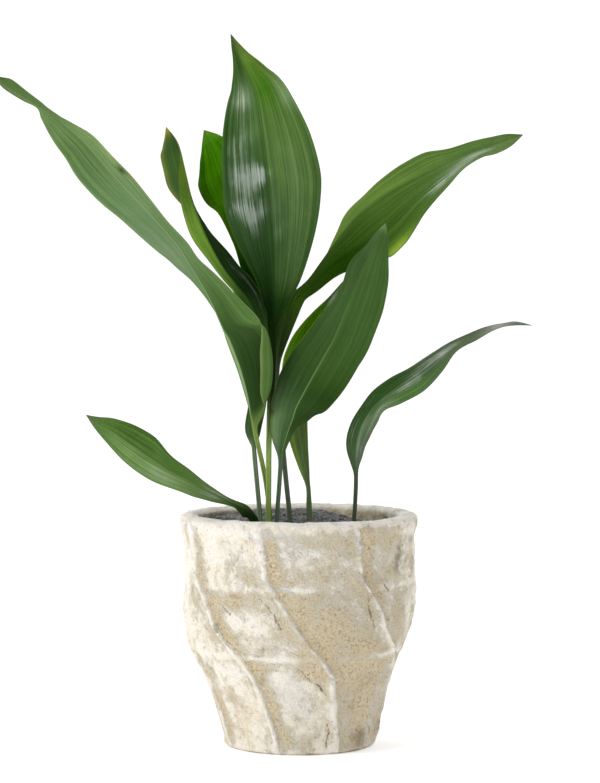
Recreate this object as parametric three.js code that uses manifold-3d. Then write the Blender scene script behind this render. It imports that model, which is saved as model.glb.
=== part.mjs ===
// Cast iron plant in a twisted-ridge cement pot. Millimetres, +Z up, origin at the middle of the pot's base.
// The viewer of the reference picture stands on the -Y side, with +X to the right.
import * as THREE from 'three';
import { mergeVertices } from 'three/addons/utils/BufferGeometryUtils.js';
import Module from 'manifold-3d';

const wasm = await Module();
wasm.setup();

// Pot
const POT_HEIGHT = 200;
const RIM_RADIUS = 100;
const WALL_AT_RIM = 15;
const FLOOR_THICKNESS = 16;
const INNER_BASE_RADIUS = 50;
const RIDGE_ANGLES = [-157, -112, -67, -21.5, 27, 72, 116, 159];
const RIDGE_TWIST = 49;
const RIDGE_RISE = 1.6;
const PANEL_SCOOPS = [1.4, 0.2, 1.8, 2.2, 2.2, 2, 2.2, 2];
const LEDGE_HEIGHTS = [142, 83];
const LEDGE_STEP = 1.6;
const POT_INNER_SIDES = 40;

// Soil and rootstock
const SOIL_TOP = 195.5;
const SOIL_GAP = 0.35;
const HOLE_GAP = 0.4;
const HOLE_DEPTH = 37;
const ROOT_RADIUS = 7;
const ROOT_DEPTH = 40;

// Leaves
const BLADE_HALF_THICKNESS = 0.45;
const MIDRIB_RISE = 0.55;
const ACROSS = [-1, -0.66, -0.3, 0, 0.3, 0.66, 1];
const LEAF_STEPS = 40;
const FOOT_DEPTH = 20;

// Each leaf is a row of stations from the soil to the tip. A station is the midrib's place x, y, z, then
// how far the left margin lies across and forward of it, then the same for the right margin. Where a margin
// is folded over, two more pairs give the bend that each half passes on its way.
const LEAVES = {
  leaf_far_left: {
    colour: 0x5f8249, stalk: 2.0, wave: 0.8, bladeFrom: 266, bladeFull: 292,
    rows: [
      [-25, -11, 194, 0, 0, 0, 0],
      [-29.5, -18, 231, 0, 0, 0, 0],
      [-37, -30, 267, 1, -3, 3, 0],
      [-41, -37, 284, 0, -10, 13, 1],
      [-46, -42, 303, -1, -18, 13, 9, 0, -9, 36, 0],
      [-51.5, -46, 322, -2, -24, 19, 10, 0, -12, 48, 0],
      [-56.5, -48, 336, -2, -26, 24.5, 10, 0, -13, 51, 0],
      [-61.5, -50, 350, -2, -28, 31, 6, 0, -14, 43, 1],
      [-65, -51, 359, -1, -29, 31, 4],
      [-75, -54, 383, 3.5, -30, 21, 16],
      [-84, -56, 400, 7, -30, 15, 23],
      [-93, -58, 415, 12.5, -29, 10, 27],
      [-101.5, -60, 429, 17, -27, 8.5, 29],
      [-117, -64, 447, 20, -26, 7.5, 30],
      [-133, -68, 465, 22.5, -25, 9, 30],
      [-150, -72, 483, 25, -22, 11, 28],
      [-165, -76, 500, 25, -19, 10, 25],
      [-178, -79, 515, 21.5, -17, 9, 21],
      [-190, -82, 526, 18, -14, 5.5, 17],
      [-200, -84, 534.5, 13.5, -12, 2.5, 13],
      [-209, -86, 540.5, 7.5, -11, 2.5, 10],
      [-216, -87, 544.5, 2, -9, 4, 8],
      [-227.5, -88, 551.5, 3, -6, 5.5, 6],
      [-241, -89, 560, 3, -4, 7, 3],
      [-248, -90, 565, 1.5, -2, 3.5, 1],
      [-255, -91, 569, 0, 0, 0, 0],
    ],
  },
  leaf_twisted: {
    colour: 0x4d6d33, stalk: 2.0, wave: 0.5, bladeFrom: 248, bladeFull: 268,
    rows: [
      [-33.7, -10, 194, 0, 0, 0, 0],
      [-38.8, -4.5, 250, 1, 0, 1, 0],
      [-39, -4, 260, 5, -2, 3, -4],
      [-38, -3, 273, 9, -4, 5, -12],
      [-36, -3, 293, 8, -6, 7, -16],
      [-33.5, -3, 318, 8.5, -6, 7, -18],
      [-33, -2, 344, 9, -8, 6, -19],
      [-35.5, 0, 364, 8, -14, 7, -19],
      [-43, 5, 381, 7.5, -17, 10, -18],
      [-55, 14, 396, 7, -18, 12.5, -17],
      [-65, 23, 408, 6, -19, 12.5, -16],
      [-75.5, 34, 425.5, 8, -18, 10.5, -17],
      [-84, 43, 443, 12, -12, 5.5, -19],
      [-89.5, 50, 457.5, 12, -2, 1, -20],
      [-94, 56, 471, 10, 8, -9.5, -17],
      [-98, 62, 486.5, 6.5, 13, -18.5, -9],
      [-102, 68, 501.5, 1.5, 14, -19, -5],
      [-106, 73, 516, 0, 11, -18, -3],
      [-111, 77, 525.5, 0, 6, -12, -2],
      [-118, 80, 534, 0, 0, 0, 0],
    ],
  },
  leaf_back_left: {
    colour: 0x346b06, stalk: 1.8, wave: 1.2, bladeFrom: 345, bladeFull: 372,
    rows: [
      [-27.6, 8, 192, 0, 0, 0, 0],
      [-27, 13, 265, 0, 0, 0, 0],
      [-25.5, 20, 335, 0, 0, 0, 0],
      [-26.5, 27, 362, 5, 0, 5, 0],
      [-31.5, 35, 386, 10, -3, 10, -4],
      [-38.5, 44, 412, 13, -6, 14.5, -6],
      [-44, 51, 436, 15, -8, 18.5, -8],
      [-52.5, 58, 465, 20.5, -8, 24, -9],
      [-59.5, 63, 482, 28, -7, 26, -9],
      [-65, 66, 497, 27, -6, 23, -8],
      [-72, 70, 511, 18.5, -4, 16, -6],
      [-78.5, 73, 522, 9.5, -2, 9, -3],
      [-84.5, 75, 531, 0, 0, 0, 0],
    ],
  },
  leaf_tall: {
    colour: 0x4c7236, stalk: 2.4, wave: 1.0, bladeFrom: 345, bladeFull: 372,
    rows: [
      [-26.7, -27, 195, 0, 0, 0, 0],
      [-26.4, -26.5, 230, 0, 0, 0, 0],
      [-26, -25, 267, 0, 0, 0, 0],
      [-23.2, -19, 313, 0, 0, 0, 0],
      [-22.5, -13, 355, 2.5, 0, 2.5, 0],
      [-22, -11, 368, 5, -2, 7, -2],
      [-22, -9, 383, 10, -5, 13.5, -4],
      [-22, -7, 401.5, 16, -9, 23.5, -6],
      [-23.5, -4, 435, 31, -15, 36, -8],
      [-26, -1, 464, 38.5, -18, 44, -9],
      [-29, 1, 489, 38, -19, 47, -9],
      [-33, 2, 524, 34, -18, 41, -8],
      [-37.5, 2, 556.5, 25, -13, 28.5, -6],
      [-43.5, 1, 574, 15.5, -8, 17.5, -4],
      [-50.5, 0, 589, 7, -4, 9, -2],
      [-55, -1, 600, 3.5, -2, 3.8, -1],
      [-59, -2, 610, 0, 0, 0, 0],
    ],
  },
  leaf_upper_right: {
    colour: 0x4d7030, stalk: 2.1, wave: 1.0, bladeFrom: 306, bladeFull: 340,
    rows: [
      [-8, -18, 193.5, 0, 0, 0, 0],
      [-12.3, -14, 235.5, 0, 0, 0, 0],
      [-18, -7, 297, 0, 0, 0, 0],
      [-19.5, -3, 314, 2.5, -1, 2, 0],
      [-19, 0, 331, 4.5, -4, 3, -4],
      [-16.5, 4, 348, 7, -7, 6, -6],
      [-11, 10, 369.5, 10, -9, 9, -10],
      [-3.5, 16, 388.5, 4.5, -16, 10.5, -14],
      [8, 21, 401, -3, -25, 13, -16],
      [21.5, 27, 419.5, -2.5, -28, 20.5, -16],
      [37.5, 34, 440, 3, -29, 38, -14, 2.5, -14, 21, 0],
      [52, 40, 456, 8.5, -28, 46, -13, 5, -14, 26, 2],
      [70, 47, 470, 10.5, -27, 45, -12, 7, -13, 25, 2],
      [87.5, 54, 481, 14, -25, 38, -11],
      [105, 60, 490, 16.5, -20, 28, -10],
      [123, 67, 499, 16.3, -17, 20.5, -9],
      [141, 74, 507, 10.5, -14, 12, -8],
      [159, 80, 513.5, 9.5, -9, 7, -6],
      [173, 84, 518.5, 7.5, -6, 8, -4],
      [186, 88, 523, 5.5, -3, 6, -2],
      [198.5, 92, 527.5, 0, 0, 0, 0],
    ],
  },
  leaf_back_centre: {
    colour: 0x4c6f2a, stalk: 2.4, wave: 0.6, bladeFrom: 205, bladeFull: 232,
    rows: [
      [8.6, -5, 191, 0, 0, 0, 0],
      [8, 1, 209, 0.5, 0, 0.5, 0],
      [7.8, 8, 222, 2.5, -2, 1, -4],
      [7.5, 16, 240, 9, -4, -0.5, -14],
      [6.5, 23, 260.5, 15, -6, -1, -19],
      [5.5, 35, 286, 20, -8, 1, -22],
      [6.5, 46, 320, 22, -9, 11, -19],
      [9.5, 50, 336, 20.5, -9, 17, -14],
      [16, 54, 351.5, 17.5, -8, 17.5, -8],
      [23, 57, 366.5, 12, -6, 13, -5],
      [30, 59, 380.5, 6, -3, 7, -3],
      [38, 60, 398, 0, 0, 0, 0],
    ],
  },
  leaf_front_right: {
    colour: 0x3f5e2c, stalk: 1.9, wave: 1.0, bladeFrom: 238, bladeFull: 258,
    rows: [
      [-19.6, -37, 195.5, 0, 0, 0, 0],
      [-17.6, -38.5, 222, 0, 0, 0, 0],
      [-15.6, -40, 250, 3.5, -1, 2.5, -1],
      [-13.5, -42, 260, 10, -5, 3, -4],
      [-9, -44, 274.5, 17, -10, 6, -9],
      [-6, -46, 282.5, 19.5, -13, 13, -12],
      [-3, -48, 292.5, 22, -16, 21.5, -13],
      [3.5, -52, 305.5, 25, -19, 27, -15],
      [12, -58, 321.5, 24.5, -22, 29.5, -16],
      [21, -65, 338, 21.5, -24, 30, -17],
      [29, -72, 353, 18.5, -25, 30.5, -15],
      [35.5, -80, 370, 11, -25, 30.5, -14],
      [42, -87, 386.5, 10, -22, 29, -12],
      [50.5, -94, 407.5, 11, -17, 24, -9],
      [58.5, -98, 425.5, 5, -10, 16, -6],
      [65.5, -100, 438.5, 3, -5, 8.5, -3],
      [71, -101, 448, 0, 0, 0, 0],
    ],
  },
  leaf_low_left: {
    colour: 0x4f7436, stalk: 3.8, wave: 0.9, bladeFrom: 196, bladeFull: 205,
    rows: [
      [-37.5, -24, 188, 0, 0, 0, 0],
      [-39.5, -27.5, 197, 1.5, 0, 1.5, 0],
      [-44.5, -33, 203.5, 6, 1, 4, 0],
      [-51, -40, 208.5, 4, 3, 3.2, -3],
      [-58, -46, 212.5, 2, 6, 2, -6],
      [-67.5, -54, 218, 3.6, 9, 3, -9],
      [-80, -62, 225, 6, 13, 5, -12],
      [-93.5, -71, 233.5, 8.5, 17, 7.5, -15],
      [-109, -80, 242.5, 10.5, 20, 10.5, -18],
      [-124.5, -88, 253, 13, 20, 15.5, -18],
      [-139.5, -96, 264, 12.5, 17, 14.5, -15],
      [-154, -103, 275, 9.2, 12, 10.5, -11],
      [-165.5, -108, 283, 5, 6, 5, -5],
      [-175.5, -112, 290.5, 0, 0, 0, 0],
    ],
  },
  leaf_low_right: {
    colour: 0x3f6432, stalk: 1.8, wave: 0.8, bladeFrom: 226, bladeFull: 250,
    rows: [
      [46.3, -7, 188, 0, 0, 0, 0],
      [47.7, -9, 211, 0, 0, 0, 0],
      [48.3, -10, 230, 1.7, 0, 1.7, 0],
      [47.6, -12, 244, 5, -4, 5, 0],
      [48.3, -14, 259, 8.6, -9, 8, 3],
      [52, -17, 273.5, 8.5, -14, 10, 7],
      [59, -20, 286.5, 8, -17, 10, 10],
      [68, -23, 297, 9.3, -18, 8, 14],
      [81.5, -26, 307.5, 9, -19, 12, 15],
      [97.5, -29, 318.5, 7, -19, 14, 13],
      [114.5, -32, 331.5, 5.8, -17, 10.5, 12],
      [131, -35, 344, 4, -14, 4, 11],
      [148, -37, 353, 3.2, -10, 3.6, 8],
      [160.5, -39, 358.5, 2.6, -7, 2, 6],
      [171.5, -40, 362, 1.4, -5, 1.2, 4],
      [183, -41, 363.2, 1.8, -3, 1.2, 2],
      [197, -42, 361.8, 0, 0, 0, 0],
    ],
  },
};

// Smooth course of one column of a table, by a uniform Catmull-Rom spline through its values.
function splineAt(values, u) {
  const last = values.length - 1;
  const i = Math.min(Math.floor(u), last - 1);
  const t = u - i;
  const p0 = values[Math.max(i - 1, 0)];
  const p1 = values[i];
  const p2 = values[i + 1];
  const p3 = values[Math.min(i + 2, last)];
  const m1 = (p2 - p0) / 2;
  const m2 = (p3 - p1) / 2;
  const t2 = t * t;
  const t3 = t2 * t;
  return (2 * t3 - 3 * t2 + 1) * p1 + (t3 - 2 * t2 + t) * m1 + (3 * t2 - 2 * t3) * p2 + (t3 - t2) * m2;
}

// A station's ten numbers with the bends filled in: a half with no fold bends a little forward at its middle.
function fullRow(row) {
  const [x, y, z, la, lb, ra, rb] = row;
  const arch = 0.06;
  const via = row.length > 7
    ? row.slice(7)
    : [0.5 * la + arch * lb, 0.5 * lb + arch * Math.abs(la), 0.5 * ra - arch * rb, 0.5 * rb + arch * Math.abs(ra)];
  return [x, y, z, la, lb, ra, rb, ...via];
}

// The foot is lengthened straight down from the first station, into the soil.
function withFoot(rows) {
  const first = rows[0];
  const next = rows[1];
  const rise = next[2] - first[2];
  const back = FOOT_DEPTH / rise;
  const foot = [
    first[0] - (next[0] - first[0]) * back * 0.5,
    first[1] - (next[1] - first[1]) * back * 0.5,
    first[2] - FOOT_DEPTH, 0, 0, 0, 0,
  ];
  return [foot, ...rows];
}

// A closed skin from rings of points, each ring the same length, with a fan at either end.
function skin(rings, splitFor) {
  const n = rings[0].length;
  const positions = [];
  const index = [];
  rings.forEach((ring) => ring.forEach((p) => positions.push(p.x, p.y, p.z)));
  for (let i = 0; i < rings.length - 1; i += 1) {
    for (let j = 0; j < n; j += 1) {
      const a = i * n + j;
      const b = i * n + ((j + 1) % n);
      const c = a + n;
      const d = b + n;
      if (splitFor(j)) index.push(a, b, d, a, d, c);
      else index.push(a, b, c, b, d, c);
    }
  }
  const centre = (ring) => {
    const sum = ring.reduce((s, p) => s.add(p), new THREE.Vector3());
    return sum.divideScalar(ring.length);
  };
  [0, rings.length - 1].forEach((i) => {
    const c = centre(rings[i]);
    const tip = positions.length / 3;
    positions.push(c.x, c.y, c.z);
    for (let j = 0; j < n; j += 1) {
      const a = i * n + j;
      const b = i * n + ((j + 1) % n);
      if (i === 0) index.push(tip, b, a);
      else index.push(tip, a, b);
    }
  });
  const geometry = new THREE.BufferGeometry();
  geometry.setAttribute('position', new THREE.Float32BufferAttribute(positions, 3));
  geometry.setIndex(index);
  return geometry;
}

// One half of the blade at a station: a quadratic curve from the midrib past the bend to the margin.
function halfAt(s, via, margin) {
  const bend = 2 * s * (1 - s);
  return [bend * via[0] + s * s * margin[0], bend * via[1] + s * s * margin[1]];
}

// A leaf grown as one piece: a round stalk that opens into a thin blade with a raised midrib and waved margins.
function leafGeometry(leaf) {
  const rows = withFoot(leaf.rows).map(fullRow);
  const columns = rows[0].map((_, k) => rows.map((row) => row[k]));
  const at = (u) => columns.map((column) => splineAt(column, u));
  const lastU = rows.length - 1;
  const toViewer = new THREE.Vector3(0, -1, 0);
  const half = ACROSS.length;
  const rings = [];
  for (let step = 0; step <= LEAF_STEPS; step += 1) {
    const u = (step / LEAF_STEPS) * (lastU - 0.03);
    const [x, y, z, la, lb, ra, rb, lva, lvb, rva, rvb] = at(u);
    const before = at(Math.max(u - 0.15, 0));
    const after = at(Math.min(u + 0.15, lastU));
    const along = new THREE.Vector3(after[0] - before[0], after[1] - before[1], after[2] - before[2]).normalize();
    const across = new THREE.Vector3().crossVectors(along, toViewer).normalize();
    const forward = new THREE.Vector3().crossVectors(across, along).normalize();
    const blade = THREE.MathUtils.smoothstep(z, leaf.bladeFrom, leaf.bladeFull);
    const taper = THREE.MathUtils.clamp((lastU - u) / 2.2, 0.12, 1);
    const wave = leaf.wave * blade * taper * Math.sin(u * 4.1);
    const middle = [];
    ACROSS.forEach((s) => {
      const [a, b] = s < 0
        ? halfAt(-s, [-lva, lvb], [-la, lb + wave])
        : halfAt(s, [rva, rvb], [ra, rb - wave]);
      middle.push(new THREE.Vector2(a, b));
    });
    const normals = middle.map((p, k) => {
      const q0 = middle[Math.max(k - 1, 0)];
      const q1 = middle[Math.min(k + 1, half - 1)];
      const d = q1.clone().sub(q0);
      return new THREE.Vector2(-d.y, d.x).divideScalar(Math.max(d.length(), 1e-6));
    });
    const place = (a, b) => new THREE.Vector3(x, y, z).addScaledVector(across, a).addScaledVector(forward, b);
    const front = [];
    const back = [];
    ACROSS.forEach((s, k) => {
      const rib = MIDRIB_RISE * taper * Math.max(0, 1 - Math.abs(s) / 0.3);
      const thick = BLADE_HALF_THICKNESS + rib;
      const turn = (s * Math.PI) / 2;
      const edge = Math.abs(s) === 1 ? 0.3 : 0;
      const round = [leaf.stalk * Math.sin(turn), leaf.stalk * (Math.cos(turn) + edge * 0.2)];
      const p = middle[k];
      const n = normals[k];
      const mix = (r, b) => r * (1 - blade) + b * blade;
      front.push(place(mix(round[0], p.x + n.x * thick), mix(round[1], p.y + n.y * thick)));
      back.push(place(mix(round[0], p.x - n.x * thick), mix(-round[1], p.y - n.y * thick)));
    });
    rings.push([...front, ...back.reverse()]);
  }
  return skin(rings, (j) => j < half - 1);
}

// Radius of the pot's outside along its crests, by height: straight above, a soft shoulder, then a taper.
const POT_PROFILE = [
  [0, 62.5], [2.5, 66], [11, 68.5], [20, 70.4], [28, 72.2], [37, 74.8], [46, 77.8], [54, 80.5],
  [63, 83.8], [72, 87.6], [80, 91], [89, 94.3], [98, 96.4], [106, 97.6], [115, 98.8], [132, 100],
  [145, 100], [158, 99.4], [176, 100.2], [186, 101.2], [191, RIM_RADIUS + 2], [195.5, RIM_RADIUS + 1.8], [198.5, RIM_RADIUS], [POT_HEIGHT, 95.5],
];

// How much of their twist the ridges have made on the way down from the rim, by height.
const TWIST_COURSE = [
  [0, 1], [12, 1], [28, 0.94], [46, 0.88], [69, 0.81], [86, 0.65], [110, 0.4], [134, 0.24],
  [150, 0.11], [176, 0.05], [POT_HEIGHT, 0],
];

function tableAt(table, z) {
  const k = Math.max(table.findIndex(([height]) => height >= z), 1);
  const [z0, v0] = table[k - 1];
  const [z1, v1] = table[k];
  return THREE.MathUtils.lerp(v0, v1, (z - z0) / (z1 - z0));
}

// The wall is a little fuller on its left side, most of all low down.
const SWELL_ANGLE = -92;
const SWELL_HEIGHT = 66;
const SWELL_TOP = 1.3;
const SWELL_LOW = 1.7;

// The ridges run straight down near the rim and the base and slant between. Between two ridges the wall is
// scooped, and under each of the two ledges it steps in a little and swells out again.
function potOuter(share, z, scoop, degrees) {
  const near = Math.min(share, 1 - share) * 2;
  const fade = THREE.MathUtils.smoothstep(z, 0, 10) * THREE.MathUtils.smoothstep(POT_HEIGHT - z, 4, 26);
  const panel = scoop * Math.sin((near * Math.PI) / 2) ** 1.2;
  const shoulder = RIDGE_RISE * THREE.MathUtils.smoothstep(near, 0, 0.26);
  const ledge = LEDGE_HEIGHTS.reduce((sum, height) => {
    const below = (height - z) / 24;
    return sum + (below > 0 && below < 1 ? LEDGE_STEP * (1 - below) : 0);
  }, 0);
  const side = ((degrees - SWELL_ANGLE + 540) % 360) - 180;
  const low = Math.exp(-(((z - SWELL_HEIGHT) / 30) ** 2));
  const swell = Math.exp(-((side / 30) ** 2)) * THREE.MathUtils.smoothstep(z, 4, 30) * (SWELL_TOP + SWELL_LOW * low);
  return tableAt(POT_PROFILE, z) - fade * (panel + shoulder) - ledge + swell;
}

// The columns of the outside follow the ridges, so each crest is one line of edges from rim to base.
const RIDGE_SHARES = [0, 0.06, 0.13, 0.3, 0.5, 0.7, 0.87, 0.94];

function potGeometry() {
  const heights = [
    0, 2.5, 10, 20, 30, 40, 50, 59, 68, 76, 82, 83.5, 92, 101, 110, 119, 128, 136, 141, 142.5, 152, 162,
    172, 182, 190, 195, 198.5, POT_HEIGHT,
  ];
  const columns = RIDGE_ANGLES.flatMap((start, k) => {
    const end = k + 1 < RIDGE_ANGLES.length ? RIDGE_ANGLES[k + 1] : RIDGE_ANGLES[0] + 360;
    return RIDGE_SHARES.map((share) => [start + (end - start) * share, share, PANEL_SCOOPS[k]]);
  });
  const rings = heights.map((z) => columns.map(([degrees, share, scoop]) => {
    const turned = degrees + RIDGE_TWIST * tableAt(TWIST_COURSE, z);
    const angle = THREE.MathUtils.degToRad(turned - 90);
    const r = potOuter(share, z, scoop, turned);
    return new THREE.Vector3(r * Math.cos(angle), r * Math.sin(angle), z);
  }));
  const outside = skin(rings, () => true);
  const hollow = new THREE.LatheGeometry(HOLLOW.map(([r, z]) => new THREE.Vector2(r, z)), POT_INNER_SIDES);
  hollow.rotateX(Math.PI / 2);
  return toGeometry(toSolid(outside).subtract(toSolid(hollow)));
}

// The pot's hollow by radius and height, from the middle of its floor up to the mouth.
const MOUTH_RADIUS = RIM_RADIUS - WALL_AT_RIM;
const HOLLOW = [
  [0, FLOOR_THICKNESS], [INNER_BASE_RADIUS, FLOOR_THICKNESS], [INNER_BASE_RADIUS + 4, FLOOR_THICKNESS + 8],
  [MOUTH_RADIUS - 4, 110], [MOUTH_RADIUS, POT_HEIGHT - 6], [MOUTH_RADIUS + 2, POT_HEIGHT - 1.5],
  [MOUTH_RADIUS + 6, POT_HEIGHT], [MOUTH_RADIUS + 9, POT_HEIGHT + 5], [0, POT_HEIGHT + 5],
];

// Height of the soil: heaped at the back and middle, lower to the right and front, and lumpy all over.
function soilHeight(x, y) {
  const right = THREE.MathUtils.smoothstep(x, 5, 75);
  const left = THREE.MathUtils.smoothstep(-x, 40, 85);
  const front = THREE.MathUtils.smoothstep(-y, -10, 55);
  const lumps = 0.8 * Math.sin(x * 0.31 + 1.3) * Math.sin(y * 0.27) + 0.5 * Math.sin(x * 0.63 - y * 0.5);
  return SOIL_TOP - 11 * right - 4 * left - 8 * front + lumps;
}

// The soil fills the pot from its floor, a hair clear of the walls, and ends in the uneven top.
function soilGeometry() {
  const sides = 32;
  const clear = SOIL_GAP + MOUTH_RADIUS * (1 - Math.cos(Math.PI / POT_INNER_SIDES));
  const ring = (radius, height) => {
    const points = [];
    for (let k = 0; k < sides; k += 1) {
      const angle = (k / sides) * Math.PI * 2;
      const x = radius * Math.cos(angle);
      const y = radius * Math.sin(angle);
      points.push(new THREE.Vector3(x, y, height === null ? soilHeight(x, y) : height));
    }
    return points;
  };
  const low = [HOLLOW[1], HOLLOW[2], HOLLOW[3]].map(([r, z]) => ring(r - clear, z + SOIL_GAP));
  const top = [1, 0.82, 0.62, 0.42, 0.22, 0.08].map((share) => ring((MOUTH_RADIUS - 0.8 - clear) * share, null));
  return skin([...low, ...top], () => true);
}

// Solids to and from the library that cuts them.
function toSolid(geometry) {
  const plain = geometry.clone();
  plain.deleteAttribute('normal');
  plain.deleteAttribute('uv');
  const merged = mergeVertices(plain, 1e-4);
  return new wasm.Manifold(new wasm.Mesh({
    numProp: 3,
    vertProperties: new Float32Array(merged.attributes.position.array),
    triVerts: new Uint32Array(merged.index.array),
  }));
}

function toGeometry(solid) {
  const mesh = solid.getMesh();
  const geometry = new THREE.BufferGeometry();
  geometry.setAttribute('position', new THREE.BufferAttribute(new Float32Array(mesh.vertProperties), 3));
  geometry.setIndex(new THREE.BufferAttribute(new Uint32Array(mesh.triVerts), 1));
  return geometry;
}

// A round bar along a course of points, with closed ends.
function barGeometry(points, radius, sides) {
  const shape = new THREE.Shape();
  shape.absarc(0, 0, radius, 0, Math.PI * 2);
  const path = new THREE.CatmullRomCurve3(points);
  return new THREE.ExtrudeGeometry(shape, {
    steps: points.length - 1, curveSegments: sides, extrudePath: path,
  });
}

// The creeping rootstock lies in a pocket of the soil, under the feet of the leaves.
const ROOT_COURSE = [[-46, -14], [-26, -12], [-4, -6], [20, -4], [46, -6]];

function rootPoints(longer) {
  const last = ROOT_COURSE.length - 1;
  return ROOT_COURSE.map(([x, y], k) => {
    const extra = k === 0 ? -longer : longer * (k === last);
    return new THREE.Vector3(x + extra, y, SOIL_TOP - ROOT_DEPTH);
  });
}

// The foot's hole: a bar around the leaf's own foot, from its end up past the soil.
function holeGeometry(leaf) {
  const rows = withFoot(leaf.rows);
  const [foot, first, next] = rows.map((row) => new THREE.Vector3(row[0], row[1], row[2]));
  const out = next.clone().sub(first).normalize().multiplyScalar(14).add(first);
  const down = foot.clone().sub(first).normalize().multiplyScalar(HOLE_DEPTH).add(first);
  return barGeometry([down, foot, first, out], leaf.stalk * 1.08 + HOLE_GAP + 0.4, 8);
}

function material(colour, roughness) {
  return new THREE.MeshStandardMaterial({ color: colour, roughness, metalness: 0 });
}

const plant = new THREE.Group();

function addPiece(name, geometry, colour, roughness) {
  const mesh = new THREE.Mesh(geometry, material(colour, roughness));
  mesh.name = name;
  plant.add(mesh);
}

let soil = toSolid(soilGeometry());
Object.values(LEAVES).forEach((leaf) => {
  soil = soil.subtract(toSolid(holeGeometry(leaf)));
});
soil = soil.subtract(toSolid(barGeometry(rootPoints(1), ROOT_RADIUS + HOLE_GAP + 0.3, 8)));

addPiece('pot', potGeometry(), 0xd9d2c2, 0.9);
addPiece('soil', toGeometry(soil), 0x4a4a4d, 1);
addPiece('rhizome', barGeometry(rootPoints(0), ROOT_RADIUS, 8), 0x8a7350, 0.8);
Object.entries(LEAVES).forEach(([name, leaf]) => addPiece(name, leafGeometry(leaf), leaf.colour, 0.45));

export default plant;
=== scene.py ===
"""A cast iron plant in a cement pot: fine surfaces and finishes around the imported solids.

Lengths in the tables are in millimetres and become metres where a mesh is made. Colours are 8-bit display
colours. The viewer of the reference picture stands on the -Y side.
"""
import math

import bpy
import numpy as np
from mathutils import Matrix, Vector


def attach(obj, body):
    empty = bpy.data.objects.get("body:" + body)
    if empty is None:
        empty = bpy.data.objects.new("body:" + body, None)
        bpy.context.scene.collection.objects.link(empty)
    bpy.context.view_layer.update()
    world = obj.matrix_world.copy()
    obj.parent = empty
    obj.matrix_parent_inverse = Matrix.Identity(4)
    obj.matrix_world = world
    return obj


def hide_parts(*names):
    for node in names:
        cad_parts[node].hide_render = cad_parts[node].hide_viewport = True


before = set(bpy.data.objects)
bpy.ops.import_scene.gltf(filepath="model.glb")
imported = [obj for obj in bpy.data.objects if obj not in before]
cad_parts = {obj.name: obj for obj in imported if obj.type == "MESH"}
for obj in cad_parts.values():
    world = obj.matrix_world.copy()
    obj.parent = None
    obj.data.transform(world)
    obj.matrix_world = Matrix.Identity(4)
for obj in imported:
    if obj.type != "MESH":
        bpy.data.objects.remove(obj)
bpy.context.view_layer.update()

bl_info = {
    "name": "Potted Cast Iron Plant",
    "version": (1, 0, 0),
    "blender": (4, 5, 0),
    "location": "3D View > Sidebar > Plant",
    "description": "Builds a leafy plant in a ridged cement pot around its packed solids",
    "category": "Add Mesh",
}

MM = 0.001

# Pot, as the solids have it
POT_HEIGHT = 200.0
RIM_RADIUS = 100.0
WALL_AT_RIM = 15.0
MOUTH_RADIUS = RIM_RADIUS - WALL_AT_RIM
FLOOR_THICKNESS = 16.0
INNER_BASE_RADIUS = 50.0
RIDGE_ANGLES = (-157, -112, -67, -21.5, 27, 72, 116, 159)
RIDGE_TWIST = 49.0
RIDGE_RISE = 1.6
PANEL_SCOOPS = (1.4, 0.2, 1.8, 2.2, 2.2, 2.0, 2.2, 2.0)
LEDGE_HEIGHTS = (142.0, 83.0)
LEDGE_STEP = 1.6
POT_PROFILE = (
    (0, 62.5), (2.5, 66), (11, 68.5), (20, 70.4), (28, 72.2), (37, 74.8), (46, 77.8), (54, 80.5), (63, 83.8),
    (72, 87.6), (80, 91), (89, 94.3), (98, 96.4), (106, 97.6), (115, 98.8), (132, 100), (145, 100),
    (158, 99.4), (176, 100.2), (186, 101.2), (191, 102), (195.5, 101.8),
)
TWIST_COURSE = (
    (0, 1), (12, 1), (28, 0.94), (46, 0.88), (69, 0.81), (86, 0.65), (110, 0.4), (134, 0.24), (150, 0.11),
    (176, 0.05), (200, 0),
)
# Inside of the pot: how far its rounded foot rises and spreads, the height of the waist, which lies inside
# the mouth by the same spread, and where the wall reaches the mouth's radius and the lip starts
INNER_FOOT_RISE = 8.0
INNER_SPREAD = 4.0
INNER_WAIST_HEIGHT = 110.0
INNER_WALL_TOP = 194.0
LIP_START = 193.5

# Rings of the pot's skin, with heights where they are crowded
POT_COLUMNS = 500
FOOT_RINGS = 4
FOOT_RINGS_TOP = 3.0
WALL_RINGS = 150
LIP_RINGS = 20
MOUTH_RINGS = 16
MOUTH_RINGS_SPAN = (192.5, 168.0)

# Kinds of roughness: the size of its lumps, its seed and its octaves. The wall's are worked out on a
# cylinder, and the finer ones at about life size.
FIELD_RADIUS = 60.0
LIFE_SIZE = 1.66
STRAY_FIELD = (26.0, 3, 3)
BUMP_FIELD = (34.0, 11, 3)
FINE_FIELD = (7.0, 29, 3)
GRIT_FIELD = (2.4, 41, 2)
RIM_FIELD = (16.0, 51, 3)
RIM_LUMP_FIELD = (4.5, 61, 3)
SOIL_CRUMB_FIELD = (5.0, 71, 3)
SOIL_GRAIN_FIELD = (1.8, 81, 2)

# Relief of the wall: how far each form stands out of it or dips into it
CREST_RISE = 1.15
FLANK_DIP = 0.85
LEDGE_LIP_RISE = 0.7
BUMP_RISE = 0.55
FINE_RISE = 0.2
GRIT_RISE = 0.1
SANDY_GRIT_RISE = 0.16
CRACK_DIP = 0.8

# Ridges: the share of a panel by which they stray and how far below the top they do so in full, where they
# fade in above the foot and below the top, and the mean width of a crest, with its least and greatest
RIDGE_STRAY = 0.022
STRAY_DEPTH = 30.0
FOOT_FADE = 10.0
TOP_FADE = (4.0, 26.0)
CREST_WIDTH = 0.095
CREST_WIDTHS = (0.035, 0.2)

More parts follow.
